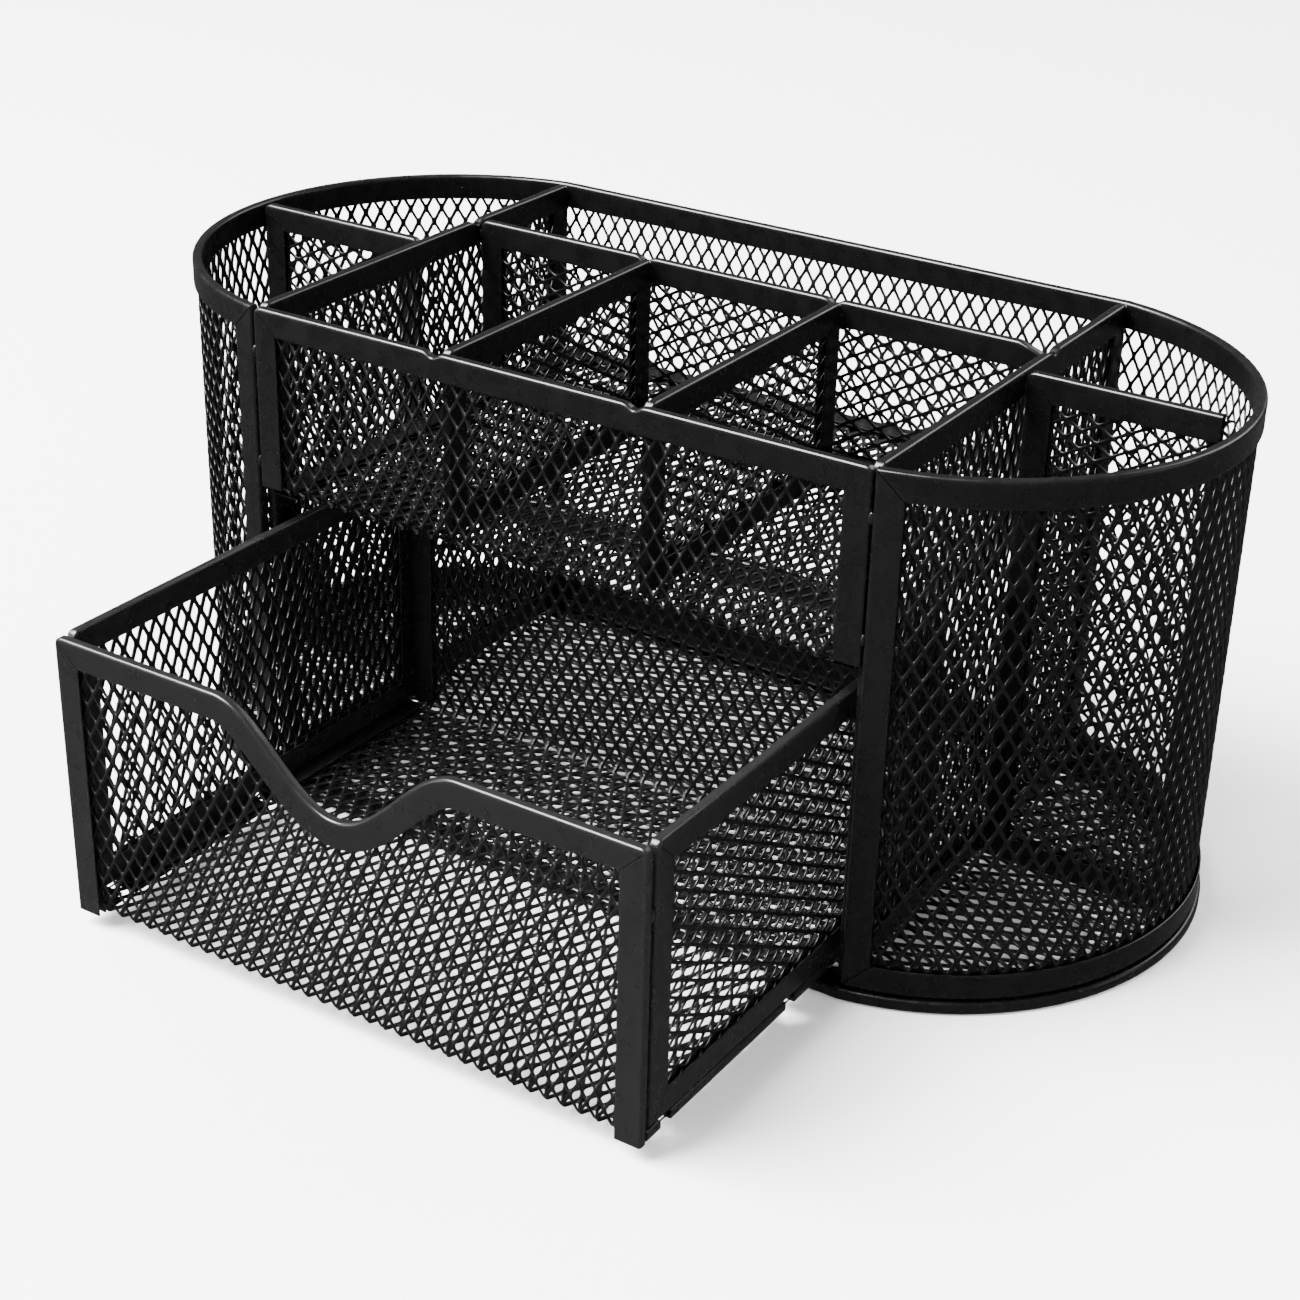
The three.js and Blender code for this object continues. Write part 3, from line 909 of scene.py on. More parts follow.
@dataclass(frozen=True)
class Weld:
    """A small bead of weld metal under the paint.

    Attributes:
        centre: Middle of the bead.
        size: Half its extents along the three axes.
        seed: Seed of its lumps.
        rows: Rings of faces from its top to its bottom.
        columns: Faces in each ring.
        lobes: Height of the lumps round it, as a share of its size.
        ripples: Height of the lumps along it, as a share of its size.
        wear: How rubbed it is.
    """

    centre: Vector
    size: tuple[float, float, float]
    seed: int
    rows: int = 9
    columns: int = 14
    lobes: float = 0.1
    ripples: float = 0.07
    wear: float = 0.3

    def add_to(self, shell: Shell) -> None:
        """Adds the bead to a mesh."""
        phases = np.random.default_rng(self.seed).uniform(0, 2 * math.pi, 3)
        polar = np.repeat(np.linspace(0.0, math.pi, self.rows + 1), self.columns)
        turn = np.tile(np.arange(self.columns) * 2 * math.pi / self.columns, self.rows + 1)
        lump = 1 + self.lobes * np.sin(3 * turn + phases[0]) * np.sin(polar)
        lump += self.ripples * np.sin(4 * polar + phases[1]) * np.cos(2 * turn + phases[2])
        ray = np.column_stack([np.sin(polar) * np.cos(turn), np.sin(polar) * np.sin(turn), np.cos(polar)])
        points = np.array(self.centre) + np.array(self.size) * ray * lump[:, None]
        faces = []
        for i in range(self.rows):
            here, below = i * self.columns, (i + 1) * self.columns
            for j in range(self.columns):
                k = (j + 1) % self.columns
                faces.append((here + j, below + j, below + k, here + k))
        shell.add(points, faces, np.full(len(points), self.wear))


# ---- Sub-assemblies -------------------------------------------------------------------

# From the line where the front meets the wall to the start of the wall's end strips.
POST_SEAM = 0.15 * MM


@dataclass
class Workshop:
    """The stock that every sub-assembly is made from.

    Attributes:
        strip: The folded edge strip.
        flat_strip: The wider strip round the floor.
        sheet: The expanded metal.
        inset: Distance from a strip's fold to the edge of the sheet in it.
        weld: Usual half-size of a bead.
    """

    strip: FoldedStrip = FoldedStrip()
    flat_strip: FoldedStrip = FoldedStrip(thickness=2.4 * MM, fold=0.6 * MM)
    sheet: ExpandedMetal = ExpandedMetal()
    inset: float = 0.7 * MM
    weld: float = 0.6 * MM

    def sheet_piece(self, name: str, node: str, body: Body, surface: Surface, region: Region,
                    way: LongWay) -> None:
        """Makes a piece of expanded metal.

        Args:
            name: The piece's name.
            node: The plain solid that it stands for.
            body: What it rides on.
            surface: Where the sheet lies.
            region: How far it reaches.
            way: Which way its diamonds are long.
        """
        made = self.sheet.build(name, surface, region, way)
        finish_piece(made, body, COATS_AND_PAINTED_LIGHT[body].sheet, "mesh_sheet", node)

    def strip_piece(self, name: str, node: str, body: Body, path: Place, span: tuple[float, float], *,
                    stations: int = 2, ends: Ends = (MITRED, MITRED),
                    dents: tuple[Dent, ...] = ()) -> None:
        """Makes a piece of one folded strip.

        Args:
            name: The piece's name.
            node: The plain solid that it stands for.
            body: What it rides on.
            path: Gives the strip's positions, as in FoldedStrip.sweep.
            span: Where the path starts and ends.
            stations: How many sections are laid at least.
            ends: How each end stops.
            dents: Where the strip is pinched.
        """
        shell = Shell()
        self.strip.sweep(shell, path, span, stations=stations, ends=ends, dents=dents)
        finish_piece(shell.to_object(name), body, COATS_AND_PAINTED_LIGHT[body].strip, "strip", node)

    def posts(self, name: str, node: str, body: Body, corner: Vector, width: float,
              height: float) -> None:
        """Makes the two uprights of a panel that stands across the model.

        Args:
            name: Start of the pieces' names.
            node: Start of the names of the plain solids that they stand for.
            body: What they ride on.
            corner: The panel's lower left corner.
            width: Width of the panel.
            height: Height of the panel.
        """
        for side, foot, inward in (("left", corner, RIGHT), ("right", corner + RIGHT * width, -RIGHT)):
            self.strip_piece(f"{name}_post_{side}", f"{node}_upright_{side}", body,
                             straight(foot, UP, inward, -BACK), (0.0, height), ends=(BUTTED, ROUNDED))


@dataclass
class MeshPanel:
    """A flat panel: a sheet in a frame folded round three sides, with a strip on top.

    Attributes:
        name: Start of the names of its nodes.
        body: What it rides on.
        way: Which way its diamonds are long.
        shop: The stock it is made from.
        droops: How far the top bends down at its first and last end.
        cuts: How far the top strip stops short of its first and last end.
        joints: Distances along the top where other strips are welded to it.
        setback: How far its first end stands back from the strip in front of it.
    """

    name: str
    body: Body
    way: LongWay
    shop: Workshop
    droops: tuple[float, float] = (0.0, 0.0)
    cuts: tuple[float, float] = (0.0, 0.0)
    joints: tuple[float, ...] = ()
    setback: float = 0.0

    def _plane(self) -> tuple[Vector, Vector, float, float]:
        """Reads the panel's place from its nodes.

        Returns:
            Its lower corner, the direction across it, its width and its height.
        """
        low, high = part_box(f"{self.name}_top_channel")
        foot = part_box(f"{self.name}_frame")[0].z
        size = high - low
        if size.x < size.y:
            corner = Vector(((low.x + high.x) / 2, low.y + self.setback, foot))
            return corner, BACK, size.y - self.setback, high.z - foot
        corner = Vector((low.x + self.setback, (low.y + high.y) / 2, foot))
        return corner, RIGHT, size.x - self.setback, high.z - foot

    def _top_end(self, side: int) -> StripEnd:
        """How the top strip stops at one end."""
        if self.cuts[side]:
            return BUTTED
        return StripEnd(rounding=ROUNDED.rounding, droop=self.droops[side])

    def build(self) -> None:
        """Makes the panel's sheet, frame and top strip."""
        corner, across, width, height = self._plane()
        out = across.cross(UP)
        inset = self.shop.inset
        region = Rectangle(inset, width - inset, inset, height - inset - max(self.droops))
        surface = FlatSurface(corner, across, UP)
        self.shop.sheet_piece(f"{self.name}_sheet", f"{self.name}_mesh", self.body, surface, region,
                              self.way)
        strip = self.shop.strip
        frame = Shell()
        drops = [max(droop, cut) for droop, cut in zip(self.droops, self.cuts, strict=True)]
        sides = ((corner, across, drops[0]), (corner + across * width, -across, drops[1]))
        for foot, inward, drop in sides:
            side = straight(foot, UP, inward, out)
            strip.sweep(frame, side, (0.0, height - drop), ends=(MITRED, ROUNDED))
        strip.sweep(frame, straight(corner, across, UP, out), (0.0, width))
        finish_piece(frame.to_object(f"{self.name}_edging"), self.body, COATS_AND_PAINTED_LIGHT[self.body].strip, "strip",
                     f"{self.name}_frame")
        top = straight(corner + UP * height, across, -UP, out)
        self.shop.strip_piece(f"{self.name}_cap", f"{self.name}_top_channel", self.body, top,
                              (self.cuts[0], width - self.cuts[1]),
                              ends=(self._top_end(0), self._top_end(1)),
                              dents=tuple(Dent(place) for place in self.joints))


@dataclass
class RoundedBody:
    """The curved wall and the floor it stands on.

    Attributes:
        shop: The stock they are made from.
        seam: From the line of the posts to where the wall's end strips start.
        overhang: How far the floor's strip stands past the wall's middle line.
        arc_steps: Straight pieces in each rounded end.
        back_steps: How many more sections the wall's strips have along the straight back.
    """

    shop: Workshop
    seam: float = POST_SEAM
    overhang: float = 1.6 * MM
    arc_steps: int = 72
    back_steps: int = 20

    def __post_init__(self) -> None:
        """Works the plan's sizes out from the model."""
        low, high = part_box("base_ring")
        self.ring_low, self.ring_high = low, high
        self.half_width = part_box("wall_end_channel_right")[0].x - self.seam
        self.half_depth = (high.y - low.y) / 2 - self.overhang
        self.middle_y = (high.y + low.y) / 2
        bulge = high.x - self.overhang - self.half_width
        self.radius = (bulge**2 + self.half_depth**2) / (2 * bulge)
        self.centre_x = self.half_width + bulge - self.radius

    def _right_arc(self, start_x: float) -> Array:
        """Corners of the right end's arc, from start_x in front to the back corner."""
        first = -math.acos((start_x - self.centre_x) / self.radius)
        last = math.asin(self.half_depth / self.radius)
        turns = np.linspace(first, last, self.arc_steps + 1)
        x = self.centre_x + self.radius * np.cos(turns)
        return np.column_stack([x, self.middle_y + self.radius * np.sin(turns)])

    def _outline(self, start_x: float, *, closed: bool) -> Polyline:
        """The line round the right end, the back and the left end, from start_x in front."""
        right = self._right_arc(start_x)
        left = right[::-1] * np.array([-1, 1])
        return Polyline(np.vstack([right, left]), closed)

    def wall_line(self) -> Polyline:
        """The wall's middle line: right end, back, left end."""
        return self._outline(self.half_width + self.seam, closed=False)

    def floor_line(self) -> Polyline:
        """The closed line round the floor."""
        return self._outline(self.half_width, closed=True)

    def build(self) -> None:
        """Makes the wall, its strips and the floor."""
        self._wall()
        self._wall_strips()
        self._floor()

    def _wall(self) -> None:
        """Makes the wall's sheet."""
        low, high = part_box("wall_mesh")
        line = self.wall_line()
        region = Rectangle(self.shop.inset, line.length - self.shop.inset, low.z, high.z)
        self.shop.sheet_piece("wall_sheet", "wall_mesh", Body.ORGANIZER, WallSurface(line), region,
                              LongWay.UP)

    def _wall_strips(self) -> None:
        """Makes the rim, the bottom strip and the two end strips."""
        line = self.wall_line()
        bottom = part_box("wall_bottom_channel")[0].z
        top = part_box("wall_rim_channel")[1].z

        def level(height: float, step: float) -> Place:
            """A path along the wall at one height, whose legs point up or down by step."""

            def place(u: Array, a: Array, b: Array) -> Array:
                """Places points by their three distances."""
                spots, sides = line.at(u)
                return np.column_stack([spots + sides * (step * b)[:, None], height - step * a])

            return place

        def upright(start: float, step: float) -> Place:
            """A path up the wall's end, whose legs point along the wall by step."""

            def place(u: Array, a: Array, b: Array) -> Array:
                """Places points by their three distances."""
                spots, sides = line.at(start + step * a)
                return np.column_stack([spots + sides * (step * b)[:, None], u])

            return place

        for name, node, height, step in (
            ("wall_rim", "wall_rim_channel", top, 1.0),
            ("wall_foot", "wall_bottom_channel", bottom, -1.0),
        ):
            self.shop.strip_piece(name, node, Body.ORGANIZER, level(height, step), (0.0, line.length),
                                  stations=2 * self.arc_steps + self.back_steps)
        for side, start, step in (("right", 0.0, 1.0), ("left", line.length, -1.0)):
            self.shop.strip_piece(f"wall_end_{side}", f"wall_end_channel_{side}", Body.ORGANIZER,
                                  upright(start, step), (bottom, top))

    def _floor(self) -> None:
        """Makes the floor's sheet and the flat strip round it."""
        line = self.floor_line()
        middle = (self.ring_low.z + self.ring_high.z) / 2
        reach = self.overhang - self.shop.inset
        surface = FlatSurface(Vector((0, self.middle_y, middle)), RIGHT, BACK)
        region = RoundEnded(self.centre_x, self.radius + reach, self.half_depth + reach)
        self.shop.sheet_piece("floor_sheet", "base_mesh", Body.ORGANIZER, surface, region, LongWay.ACROSS)

        def place(u: Array, a: Array, b: Array) -> Array:
            """Places points by their three distances."""
            spots, sides = line.at(np.mod(u, line.length))
            return np.column_stack([spots + sides * (self.overhang - a)[:, None], middle + b])

        shell = Shell()
        self.shop.flat_strip.loop(shell, place, line.length, stations=4 * self.arc_steps)
        finish_piece(shell.to_object("floor_edging"), Body.ORGANIZER, STRIP_COAT, "strip", "base_ring")


@dataclass
class FrontAndShelf:
    """The front panel over the drawer, whose sheet turns back and becomes the shelf.

    Attributes:
        shop: The stock it is made from.
        bend: Radius of the sheet's bend.
        dent_offset: How far beside each front divider its weld pinched the rail.
    """

    shop: Workshop
    bend: float = 1.0 * MM
    dent_offset: float = 1.2 * MM

    def build(self) -> None:
        """Makes the bent sheet and the strips on its edges."""
        rail_low, rail_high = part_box("front_top_rail")
        sheet_low, sheet_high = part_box("front_and_shelf_mesh")
        left_low, left_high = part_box("shelf_channel_left")
        back_low, back_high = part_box("shelf_channel_back")
        front_y = (rail_low.y + rail_high.y) / 2
        plane = (left_low.z + left_high.z) / 2
        surface = BentSurface(front_y, plane, self.bend)
        shelf_depth = sheet_high.y - front_y - self.bend
        region = Rectangle(sheet_low.x, sheet_high.x, -shelf_depth - surface.bend_length,
                           sheet_high.z - plane - self.bend)
        self.shop.sheet_piece("front_and_shelf_sheet", "front_and_shelf_mesh", Body.ORGANIZER, surface,
                              region, LongWay.UP)

        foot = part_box("front_upright_left")[0].z
        width, height = rail_high.x - rail_low.x, rail_high.z - foot
        corner = Vector((rail_low.x, front_y, foot))
        dents = tuple(
            Dent(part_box(f"{side}_front_divider_mesh")[0].x - rail_low.x - self.dent_offset)
            for side in ("left", "right")
        )
        self.shop.strip_piece("front_rail", "front_top_rail", Body.ORGANIZER,
                              straight(corner + UP * height, RIGHT, -UP, -BACK), (0.0, width),
                              ends=(ROUNDED, ROUNDED), dents=dents)
        self.shop.posts("front", "front", Body.ORGANIZER, corner, width, height)
        for side, x, inward in (("left", left_low.x, RIGHT), ("right", back_high.x, -RIGHT)):
            edge = straight(Vector((x, left_low.y, plane)), BACK, inward, UP)
            self.shop.strip_piece(f"shelf_edge_{side}", f"shelf_channel_{side}", Body.ORGANIZER, edge,
                                  (0.0, back_high.y - left_low.y), ends=(BUTTED, MITRED))
        rear = straight(Vector((back_low.x, back_high.y, plane)), RIGHT, -BACK, UP)
        self.shop.strip_piece("shelf_edge_back", "shelf_channel_back", Body.ORGANIZER, rear,
                              (0.0, back_high.x - back_low.x))


@dataclass
class Dividers:
    """The walls between the compartments.

    Attributes:
        shop: The stock they are made from.
        droop: How far the centre divider's top bends down at its right end.
        cut: How far the right end divider's top strip stops short of the wall.
        dent_offset: How far beside a joint its weld pinched the strip.
    """

    shop: Workshop
    droop: float = 2.0 * MM
    cut: float = 3.6 * MM
    dent_offset: float = 1.2 * MM

    def build(self) -> None:
        """Makes the seven dividers."""
        centre_low, centre_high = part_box("centre_divider_top_channel")
        joints = []
        for side in ("left", "right"):
            cross_low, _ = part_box(f"{side}_cross_divider_top_channel")
            joint = (centre_low.y + centre_high.y) / 2 - cross_low.y - self.dent_offset
            self._panel(f"{side}_cross_divider", LongWay.UP, joints=(joint,))
            self._panel(f"{side}_front_divider", LongWay.ACROSS)
            short_low, short_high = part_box(f"{side}_front_divider_top_channel")
            joints.append((short_low.x + short_high.x) / 2 - centre_low.x - self.dent_offset)
        self._panel("left_end_divider", LongWay.ACROSS)
        self._panel("right_end_divider", LongWay.ACROSS, cuts=(0.0, self.cut))
        self._panel("centre_divider", LongWay.ACROSS, droops=(0.0, self.droop), joints=tuple(joints))

    def _panel(self, name: str, way: LongWay, **details: tuple[float, ...]) -> None:
        """Makes one divider."""
        MeshPanel(name, Body.ORGANIZER, way, self.shop, **details).build()


@dataclass
class Drawer:
    """The drawer: a sheet bent into front, floor and back, with two sides.

    Attributes:
        shop: The stock it is made from.
        scoop_half_width: Half the width of the finger scoop.
        scoop_depth: Depth of the finger scoop.
        bend: Radius of the sheet's bend.
        notches: How far behind the front the floor's side strips are notched.
        notch_width: Width of each notch.
        groove: Gap left between the front and each side.
        scoop_steps: Straight pieces in the scoop's edge.
        edge_samples: Places along the front's top where the sheet's own edge is worked out.
        rail_stations: How many sections the scooped rail has.
    """

    shop: Workshop
    scoop_half_width: float = 26.0 * MM
    scoop_depth: float = 16.4 * MM
    bend: float = 1.0 * MM
    notches: tuple[float, ...] = (4.0 * MM, 45.0 * MM)
    notch_width: float = 3.5 * MM
    groove: float = 0.7 * MM
    scoop_steps: int = 72
    edge_samples: int = 400
    rail_stations: int = 140

    def _dip(self, x: Array) -> Array:
        """How far the front's top edge falls below its ends."""
        share = np.clip(np.abs(x) / self.scoop_half_width, 0.0, 1.0)
        return self.scoop_depth / 2 * (1 + np.cos(np.pi * share))

    def _edge(self, half: float, top: float) -> Polyline:
        """The front's top edge, with heights in place of depths."""
        scoop = np.linspace(-self.scoop_half_width, self.scoop_half_width, self.scoop_steps + 1)
        x = np.concatenate([[-half], scoop, [half]])
        return Polyline(np.column_stack([x, top - self._dip(x)]))

    def build(self) -> None:
        """Makes the drawer's pieces."""
        self._tray()
        self._front_strips()
        self._floor_strips()
        self._back_strips()
        for panel, way in (("drawer_left_side", LongWay.UP), ("drawer_right_side", LongWay.ACROSS)):
            MeshPanel(panel, Body.DRAWER, way, self.shop, setback=self.groove).build()

    def _tray(self) -> None:
        """Makes the sheet of the front, the floor and the back."""
        low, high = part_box("drawer_tray_mesh")
        rail_low, rail_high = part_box("drawer_front_rail")
        floor_low, floor_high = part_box("drawer_floor_channel_left")
        back_low, back_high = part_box("drawer_back_top_channel")
        inset = self.shop.inset
        front_y = (rail_low.y + rail_high.y) / 2
        plane = (floor_low.z + floor_high.z) / 2
        flat = (back_low.y + back_high.y) / 2 - front_y - 2 * self.bend
        surface = BentSurface(front_y, plane, self.bend, flat)
        above = rail_high.z - plane - self.bend
        edge = self._edge(rail_high.x, above)
        spots, sides = edge.at(np.linspace(0.0, edge.length, self.edge_samples))
        inner = spots + sides * inset

        def top(s: Array) -> Array:
            """Height of the sheet's top edge over the bend."""
            return np.interp(s, inner[:, 0], inner[:, 1])

        rear = back_high.z - plane - self.bend - inset
        region = ScoopedRectangle(low.x, high.x, -flat - 2 * surface.bend_length - rear, above - inset,
                                  top, -flat - surface.bend_length, back_high.x - inset)
        self.shop.sheet_piece("drawer_tray_sheet", "drawer_tray_mesh", Body.DRAWER, surface, region,
                              LongWay.UP)

    def _back_strips(self) -> None:
        """Makes the strips on the top and the two sides of the back."""
        low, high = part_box("drawer_back_top_channel")
        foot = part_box("drawer_back_upright_left")[0].z
        width, height = high.x - low.x, high.z - foot
        corner = Vector((low.x, (low.y + high.y) / 2, foot))
        self.shop.strip_piece("drawer_back_rail", "drawer_back_top_channel", Body.DRAWER,
                              straight(corner + UP * height, RIGHT, -UP, -BACK), (0.0, width),
                              ends=(ROUNDED, ROUNDED))
        self.shop.posts("drawer_back", "drawer_back", Body.DRAWER, corner, width, height)

    def _front_strips(self) -> None:
        """Makes the scooped rail and the two uprights of the front."""
        low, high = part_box("drawer_front_rail")
        post_low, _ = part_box("drawer_front_upright_left")
        front_y = (low.y + high.y) / 2
        edge = self._edge(high.x, high.z)

        def along_edge(u: Array, a: Array, b: Array) -> Array:
            """Places points of the rail by their three distances."""
            spots, sides = edge.at(u)
            spots = spots + sides * a[:, None]
            return np.column_stack([spots[:, 0], front_y - b, spots[:, 1]])

        self.shop.strip_piece("drawer_scooped_rail", "drawer_front_rail", Body.DRAWER, along_edge,
                              (0.0, edge.length), stations=self.rail_stations, ends=(ROUNDED, ROUNDED))
        self.shop.posts("drawer", "drawer_front", Body.DRAWER, Vector((low.x, front_y, post_low.z)),
                        high.x - low.x, high.z - post_low.z)

    def _floor_strips(self) -> None:
        """Makes the strips folded round the sides of the floor."""
        edges = [edge for notch in self.notches for edge in (notch, notch + self.notch_width)]
        for side, inward in (("left", RIGHT), ("right", -RIGHT)):
            low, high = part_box(f"drawer_floor_channel_{side}")
            fold_x = low.x if side == "left" else high.x
            path = straight(Vector((fold_x, low.y, (low.z + high.z) / 2)), BACK, inward, UP)
            cuts = [0.0, *edges, high.y - low.y]
            shell = Shell()
            for start, stop in zip(cuts[::2], cuts[1::2], strict=True):
                self.shop.strip.sweep(shell, path, (start, stop), ends=(BUTTED, BUTTED))
            # The drawer's strip coat is painted lighter, as painted light.
            finish_piece(shell.to_object(f"drawer_floor_edging_{side}"), Body.DRAWER, DRAWER_STRIP_COAT_PAINTED_LIGHTER,
                         "strip", f"drawer_floor_channel_{side}")


class Bead(Enum):
    """Shapes of the weld beads: half their extents, as shares of a bead's usual half-size."""

    POST = (0.9, 0.7, 1.9)
    CROSS = (0.6, 0.5, 1.5)
    DIVIDER = (0.5, 0.7, 1.4)
    DRAWER_FRONT = (0.6, 0.7, 1.7)
    DRAWER_BACK = (0.6, 0.6, 1.6)
    DRAWER_OUTER = (1.3, 1.5, 2.0)


@dataclass
class WeldSet:
    """The spot welds that hold the organizer together.

    Attributes:
        shop: The stock, which gives a bead's size.
        post_drop: From the posts' tops down to their upper welds.
        post_rise: From the posts' feet up to their lower welds.
        post_depth: From the posts' front faces back to their welds.
        beside: From the middle of a divider's strip to the welds on its sides.
        cross_drops: From the top down to the welds where the centre divider ends.
        divider_drop: From the top down to the front dividers' welds.
        corner_drop: From the drawer's top down to its corners' upper welds.
        corner_rise: From the sides' feet up to its corners' lower welds.
        outer_drop: From the drawer's top down to the welds outside its front corners.
        outer_depth: From the outer face of a side in to those welds.
        stand_off: From the front and the back of the drawer to the welds behind them.
    """

    shop: Workshop
    post_drop: float = 9.0 * MM
    post_rise: float = 5.0 * MM
    post_depth: float = 0.35 * MM
    beside: float = 1.0 * MM
    cross_drops: tuple[float, float] = (3.0 * MM, 26.0 * MM)
    divider_drop: float = 3.2 * MM
    corner_drop: float = 4.0 * MM
    corner_rise: float = 6.0 * MM
    outer_drop: float = 13.0 * MM
    outer_depth: float = 0.5 * MM
    stand_off: float = 0.2 * MM

    def _bead(self, shell: Shell, bead: Bead, spot: tuple[float, float, float], seed: int) -> None:
        """Adds one bead to a mesh."""
        size = tuple(share * self.shop.weld for share in bead.value)
        Weld(Vector(spot), size, seed).add_to(shell)

    def build(self) -> None:
        """Makes the welds of the organizer and of the drawer."""
        shell = Shell()
        self._posts(shell)
        self._dividers(shell)
        finish_piece(shell.to_object("organizer_welds", WELD_CREASE), Body.ORGANIZER, WELD_COAT, "strip")
        shell = Shell()
        self._drawer(shell)
        # The drawer's welds take its strip coat, painted lighter as painted light.
        finish_piece(shell.to_object("drawer_welds", WELD_CREASE), Body.DRAWER, DRAWER_STRIP_COAT_PAINTED_LIGHTER, "strip")

    def _posts(self, shell: Shell) -> None:
        """Adds the welds between the front's posts and the wall's."""
        low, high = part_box("front_top_rail")
        post_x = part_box("wall_end_channel_right")[0].x - POST_SEAM
        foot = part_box("front_upright_left")[0].z
        heights = (high.z - self.post_drop, foot + self.post_rise)
        for (side, z), seed in zip(product((-1, 1), heights), POST_SEEDS, strict=True):
            self._bead(shell, Bead.POST, (side * post_x, low.y + self.post_depth, z), seed)

    def _dividers(self, shell: Shell) -> None:
        """Adds the welds where dividers meet."""
        low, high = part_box("centre_divider_top_channel")
        middle = (low.y + high.y) / 2
        spots = product((low.x, high.x), self.cross_drops, (-self.beside, self.beside))
        for seed, (x, drop, step) in enumerate(spots, start=CROSS_SEED):
            self._bead(shell, Bead.CROSS, (x, middle + step, high.z - drop), seed)
        for first, side in zip(DIVIDER_SEEDS, ("left", "right"), strict=True):
            low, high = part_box(f"{side}_front_divider_top_channel")
            middle = (low.x + high.x) / 2
            spots = product((low.y, high.y), (-self.beside, self.beside))
            for seed, (y, step) in enumerate(spots, start=first):
                self._bead(shell, Bead.DIVIDER, (middle + step, y, high.z - self.divider_drop), seed)

    def _drawer(self, shell: Shell) -> None:
        """Adds the welds in the drawer's corners."""
        _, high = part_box("drawer_front_rail")
        back_low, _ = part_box("drawer_back_top_channel")
        side_low, side_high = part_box("drawer_left_side_frame")
        inner, outer = abs(side_high.x), abs(side_low.x) - self.outer_depth
        heights = (high.z - self.corner_drop, side_low.z + self.corner_rise)
        for number, side in enumerate((-1, 1)):
            for step, z in enumerate(heights, start=2 * number):
                front, rear = (side * inner, high.y, z), (side * inner, back_low.y + self.stand_off, z)
                self._bead(shell, Bead.DRAWER_FRONT, front, DRAWER_FRONT_SEED + step)
                self._bead(shell, Bead.DRAWER_BACK, rear, DRAWER_BACK_SEED + step)
            spot = (side * outer, high.y + self.stand_off, high.z - self.outer_drop)
            self._bead(shell, Bead.DRAWER_OUTER, spot, DRAWER_OUTER_SEED + number)


# ---- The studio -----------------------------------------------------------------------

WHITE = (1.0, 1.0, 1.0, 1.0)
SENSOR_MM = 36.0
# The lamps: name, place from the point they aim at, width and height, and power in watts.
LAMPS = (
    ("key", (-0.8, -0.7, 1.5), (1.2, 1.2), 330.0),
    ("back", (0.5, 1.5, 1.1), (1.2, 0.8), 16.0),
    ("low", (-1.4, -1.2, 0.2), (0.5, 0.4), 10.0),
    ("fill", (1.6, 0.45, 0.3), (0.6, 0.5), 3.0),
)


@dataclass(frozen=True)
class Softbox:
    """A large soft lamp.

    Attributes:
        name: Its name.
        place: Where it stands.
        aim: What it points at.
        size: Its width and height.
        power: Its power in watts.
    """

    name: str
    place: Vector
    aim: Vector
    size: tuple[float, float]
    power: float

    def build(self) -> None:
        """Makes the lamp."""
        lamp = bpy.data.lights.new(self.name, "AREA")
        lamp.shape = "RECTANGLE"
        lamp.size, lamp.size_y = self.size
        lamp.energy = self.power
        made = bpy.data.objects.new(self.name, lamp)
        made.location = self.place
        made.rotation_euler = (self.aim - self.place).to_track_quat("-Z", "Y").to_euler()
        made.visible_camera = False
        bpy.context.scene.collection.objects.link(made)


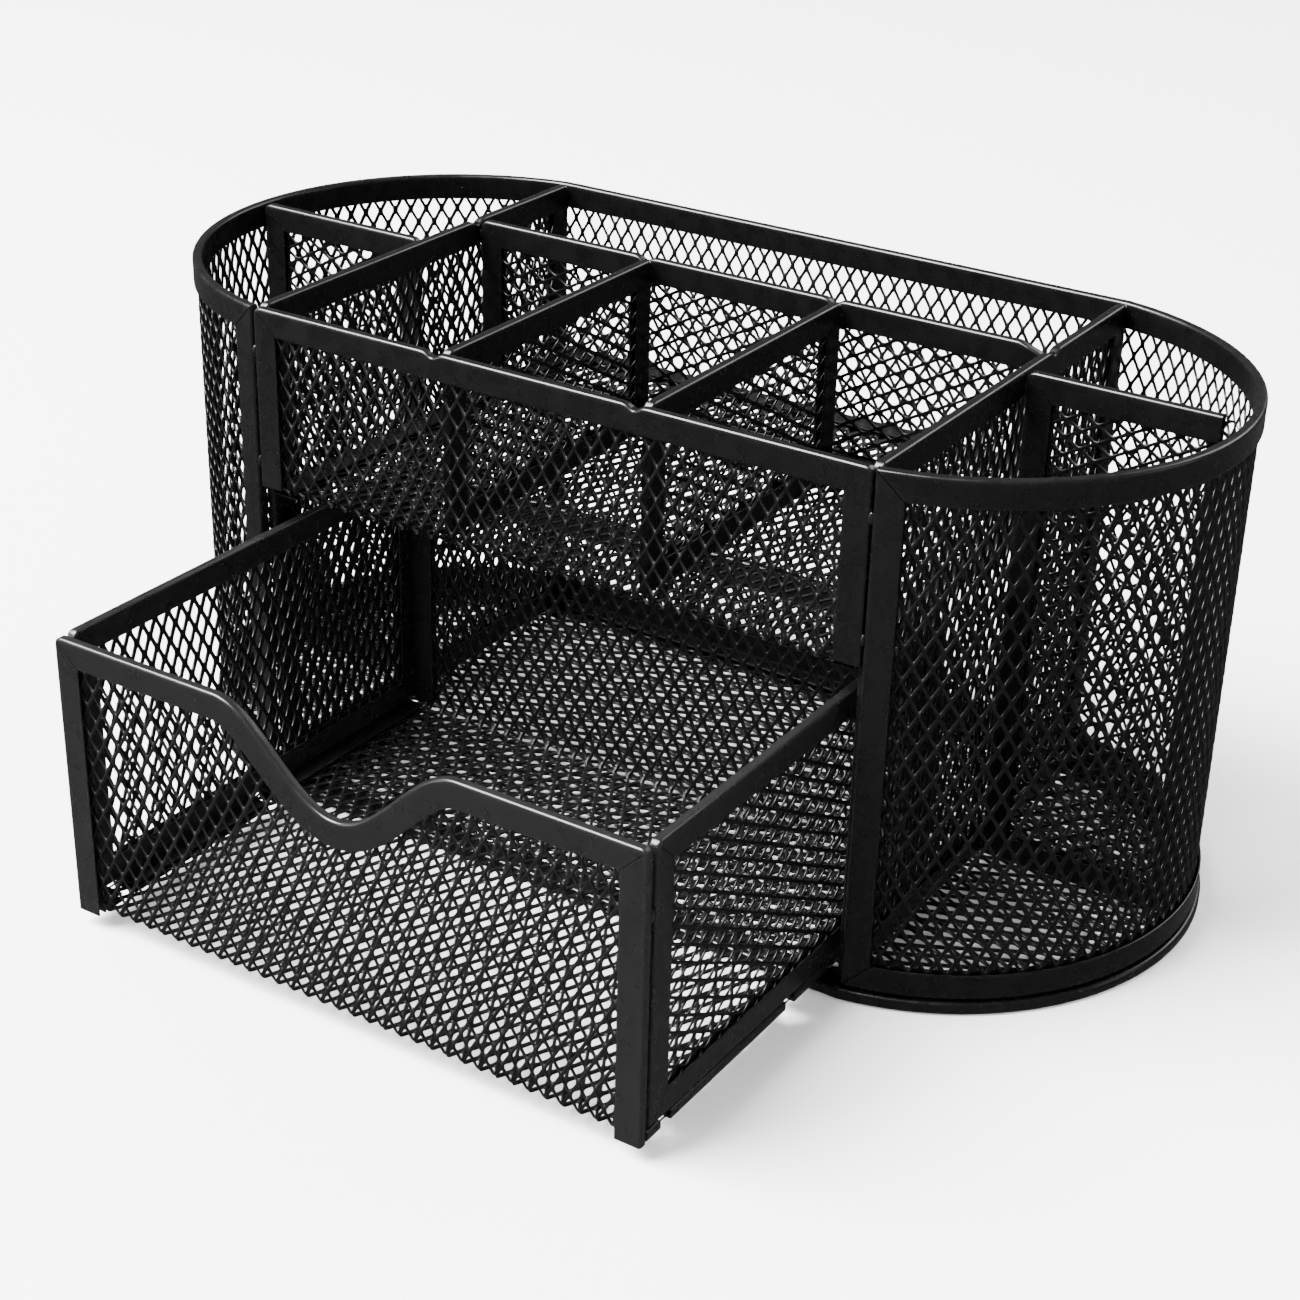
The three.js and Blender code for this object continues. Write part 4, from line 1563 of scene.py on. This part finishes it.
@dataclass(frozen=True)
class Studio:
    """The camera, the lamps and the floor.

    Attributes:
        body_centre: Middle of the closed body on the floor.
        azimuth_deg: Bearing of the camera, from the front towards the right.
        elevation_deg: Height of the camera over the horizon.
        roll_deg: Turn of the camera about its line of sight.
        lens_mm: Focal length on a 36 mm sensor.
        eye: Place of the camera from the body's centre.
        sight: Nearest and farthest distance that the camera sees.
        surroundings: Strength of the light from all round.
        aim_height: Height of the point that the lamps are aimed at.
        floor_reach: Half the width of the floor.
        floor_drop: How far the floor is under the organizer's foot.
        floor_shade: How much light the floor sends back, from 0 to 1.
        floor_roughness: Roughness of the floor.
        backdrop_sides: Straight pieces in the backdrop's ring.
        backdrop_radius: Radius of the backdrop.
        backdrop_heights: Heights of the backdrop's lower and upper edges.
        backdrop_shade: How much light the backdrop sends back, from 0 to 1.
        backdrop_glow: Strength of the backdrop's own light.
    """

    body_centre: Vector
    azimuth_deg: float = 32.36
    elevation_deg: float = 26.9
    roll_deg: float = 1.53
    lens_mm: float = 68.44
    eye: Vector = Vector((0.2357, -0.3860, 0.2587))
    sight: tuple[float, float] = (0.02, 50.0)
    surroundings: float = 0.13
    aim_height: float = 0.05
    floor_reach: float = 6.0
    floor_drop: float = 0.2 * MM
    floor_shade: float = 0.82
    floor_roughness: float = 0.7
    backdrop_sides: int = 64
    backdrop_radius: float = 3.0
    backdrop_heights: tuple[float, float] = (-0.1, 3.0)
    backdrop_shade: float = 0.8
    backdrop_glow: float = 1.6

    def build_camera(self) -> None:
        """Makes the camera."""
        data = bpy.data.cameras.new("camera")
        data.lens = self.lens_mm
        data.sensor_width = SENSOR_MM
        data.clip_start, data.clip_end = self.sight
        made = bpy.data.objects.new("camera", data)
        bpy.context.scene.collection.objects.link(made)
        azimuth, elevation = math.radians(self.azimuth_deg), math.radians(self.elevation_deg)
        back = Vector((math.sin(azimuth) * math.cos(elevation), -math.cos(azimuth) * math.cos(elevation),
                       math.sin(elevation)))
        right = (-back).cross(UP).normalized()
        up = right.cross(-back)
        roll = math.radians(self.roll_deg)
        turned_right = right * math.cos(roll) + up * math.sin(roll)
        turned_up = up * math.cos(roll) - right * math.sin(roll)
        turn = Matrix((turned_right, turned_up, back)).transposed().to_4x4()
        made.matrix_world = Matrix.Translation(self.body_centre + self.eye) @ turn
        bpy.context.scene.camera = made

    def build_set(self) -> None:
        """Makes the lamps, the surroundings and the floor."""
        aim = self.body_centre + UP * self.aim_height
        for name, place, size, power in LAMPS:
            Softbox(name, aim + Vector(place), aim, size, power).build()
        world = bpy.data.worlds.new("studio")
        world.use_nodes = True
        background = world.node_tree.nodes["Background"]
        background.inputs["Color"].default_value = WHITE
        background.inputs["Strength"].default_value = self.surroundings
        bpy.context.scene.world = world
        self._floor()
        self._backdrop()

    @staticmethod
    def _set_piece(name: str, points: list[tuple[float, ...]], faces: list[tuple[int, ...]],
                   coat: str, shade: float) -> tuple[bpy.types.Object, bpy.types.Node]:
        """Makes a matt piece of the set, which the organizer's coat doesn't mirror.

        Args:
            name: The object's name.
            points: Its points.
            faces: Its faces.
            coat: Name of its material.
            shade: How much light it sends back, from 0 to 1.

        Returns:
            The object and its shader.
        """
        mesh = bpy.data.meshes.new(name)
        mesh.from_pydata(points, [], faces)
        made = bpy.data.objects.new(name, mesh)
        made.visible_glossy = False
        bpy.context.scene.collection.objects.link(made)
        paint = bpy.data.materials.new(coat)
        paint.use_nodes = True
        shader = paint.node_tree.nodes["Principled BSDF"]
        shader.inputs["Base Color"].default_value = (shade, shade, shade, 1.0)
        made.data.materials.append(paint)
        return made, shader

    def _backdrop(self) -> None:
        """Makes the pale round wall behind the floor."""
        sides = self.backdrop_sides
        turns = np.arange(sides) * 2 * math.pi / sides
        ring = self.backdrop_radius * np.column_stack([np.cos(turns), np.sin(turns)])
        points = [(x, y, z) for z in self.backdrop_heights for x, y in ring.tolist()]
        faces = [(i, (i + 1) % sides, (i + 1) % sides + sides, i + sides) for i in range(sides)]
        _, shader = self._set_piece("backdrop", points, faces, "lit_paper", self.backdrop_shade)
        shader.inputs["Emission Color"].default_value = WHITE
        shader.inputs["Emission Strength"].default_value = self.backdrop_glow

    def _floor(self) -> None:
        """Makes the pale floor."""
        reach = self.floor_reach
        points = [(-reach, -reach, 0), (reach, -reach, 0), (reach, reach, 0), (-reach, reach, 0)]
        made, shader = self._set_piece("floor", points, [(0, 1, 2, 3)], "pale_floor", self.floor_shade)
        shader.inputs["Roughness"].default_value = self.floor_roughness
        made.location.z = -self.floor_drop


def main() -> None:
    """Builds the studio and every sub-assembly."""
    logging.basicConfig(level=logging.INFO, format="%(name)s %(message)s")
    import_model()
    shop = Workshop()
    body = RoundedBody(shop)
    studio = Studio(Vector((0, body.middle_y, 0)))
    studio.build_camera()
    body.build()
    FrontAndShelf(shop).build()
    Dividers(shop).build()
    Drawer(shop).build()
    WeldSet(shop).build()
    studio.build_set()


if __name__ == "__main__":
    main()
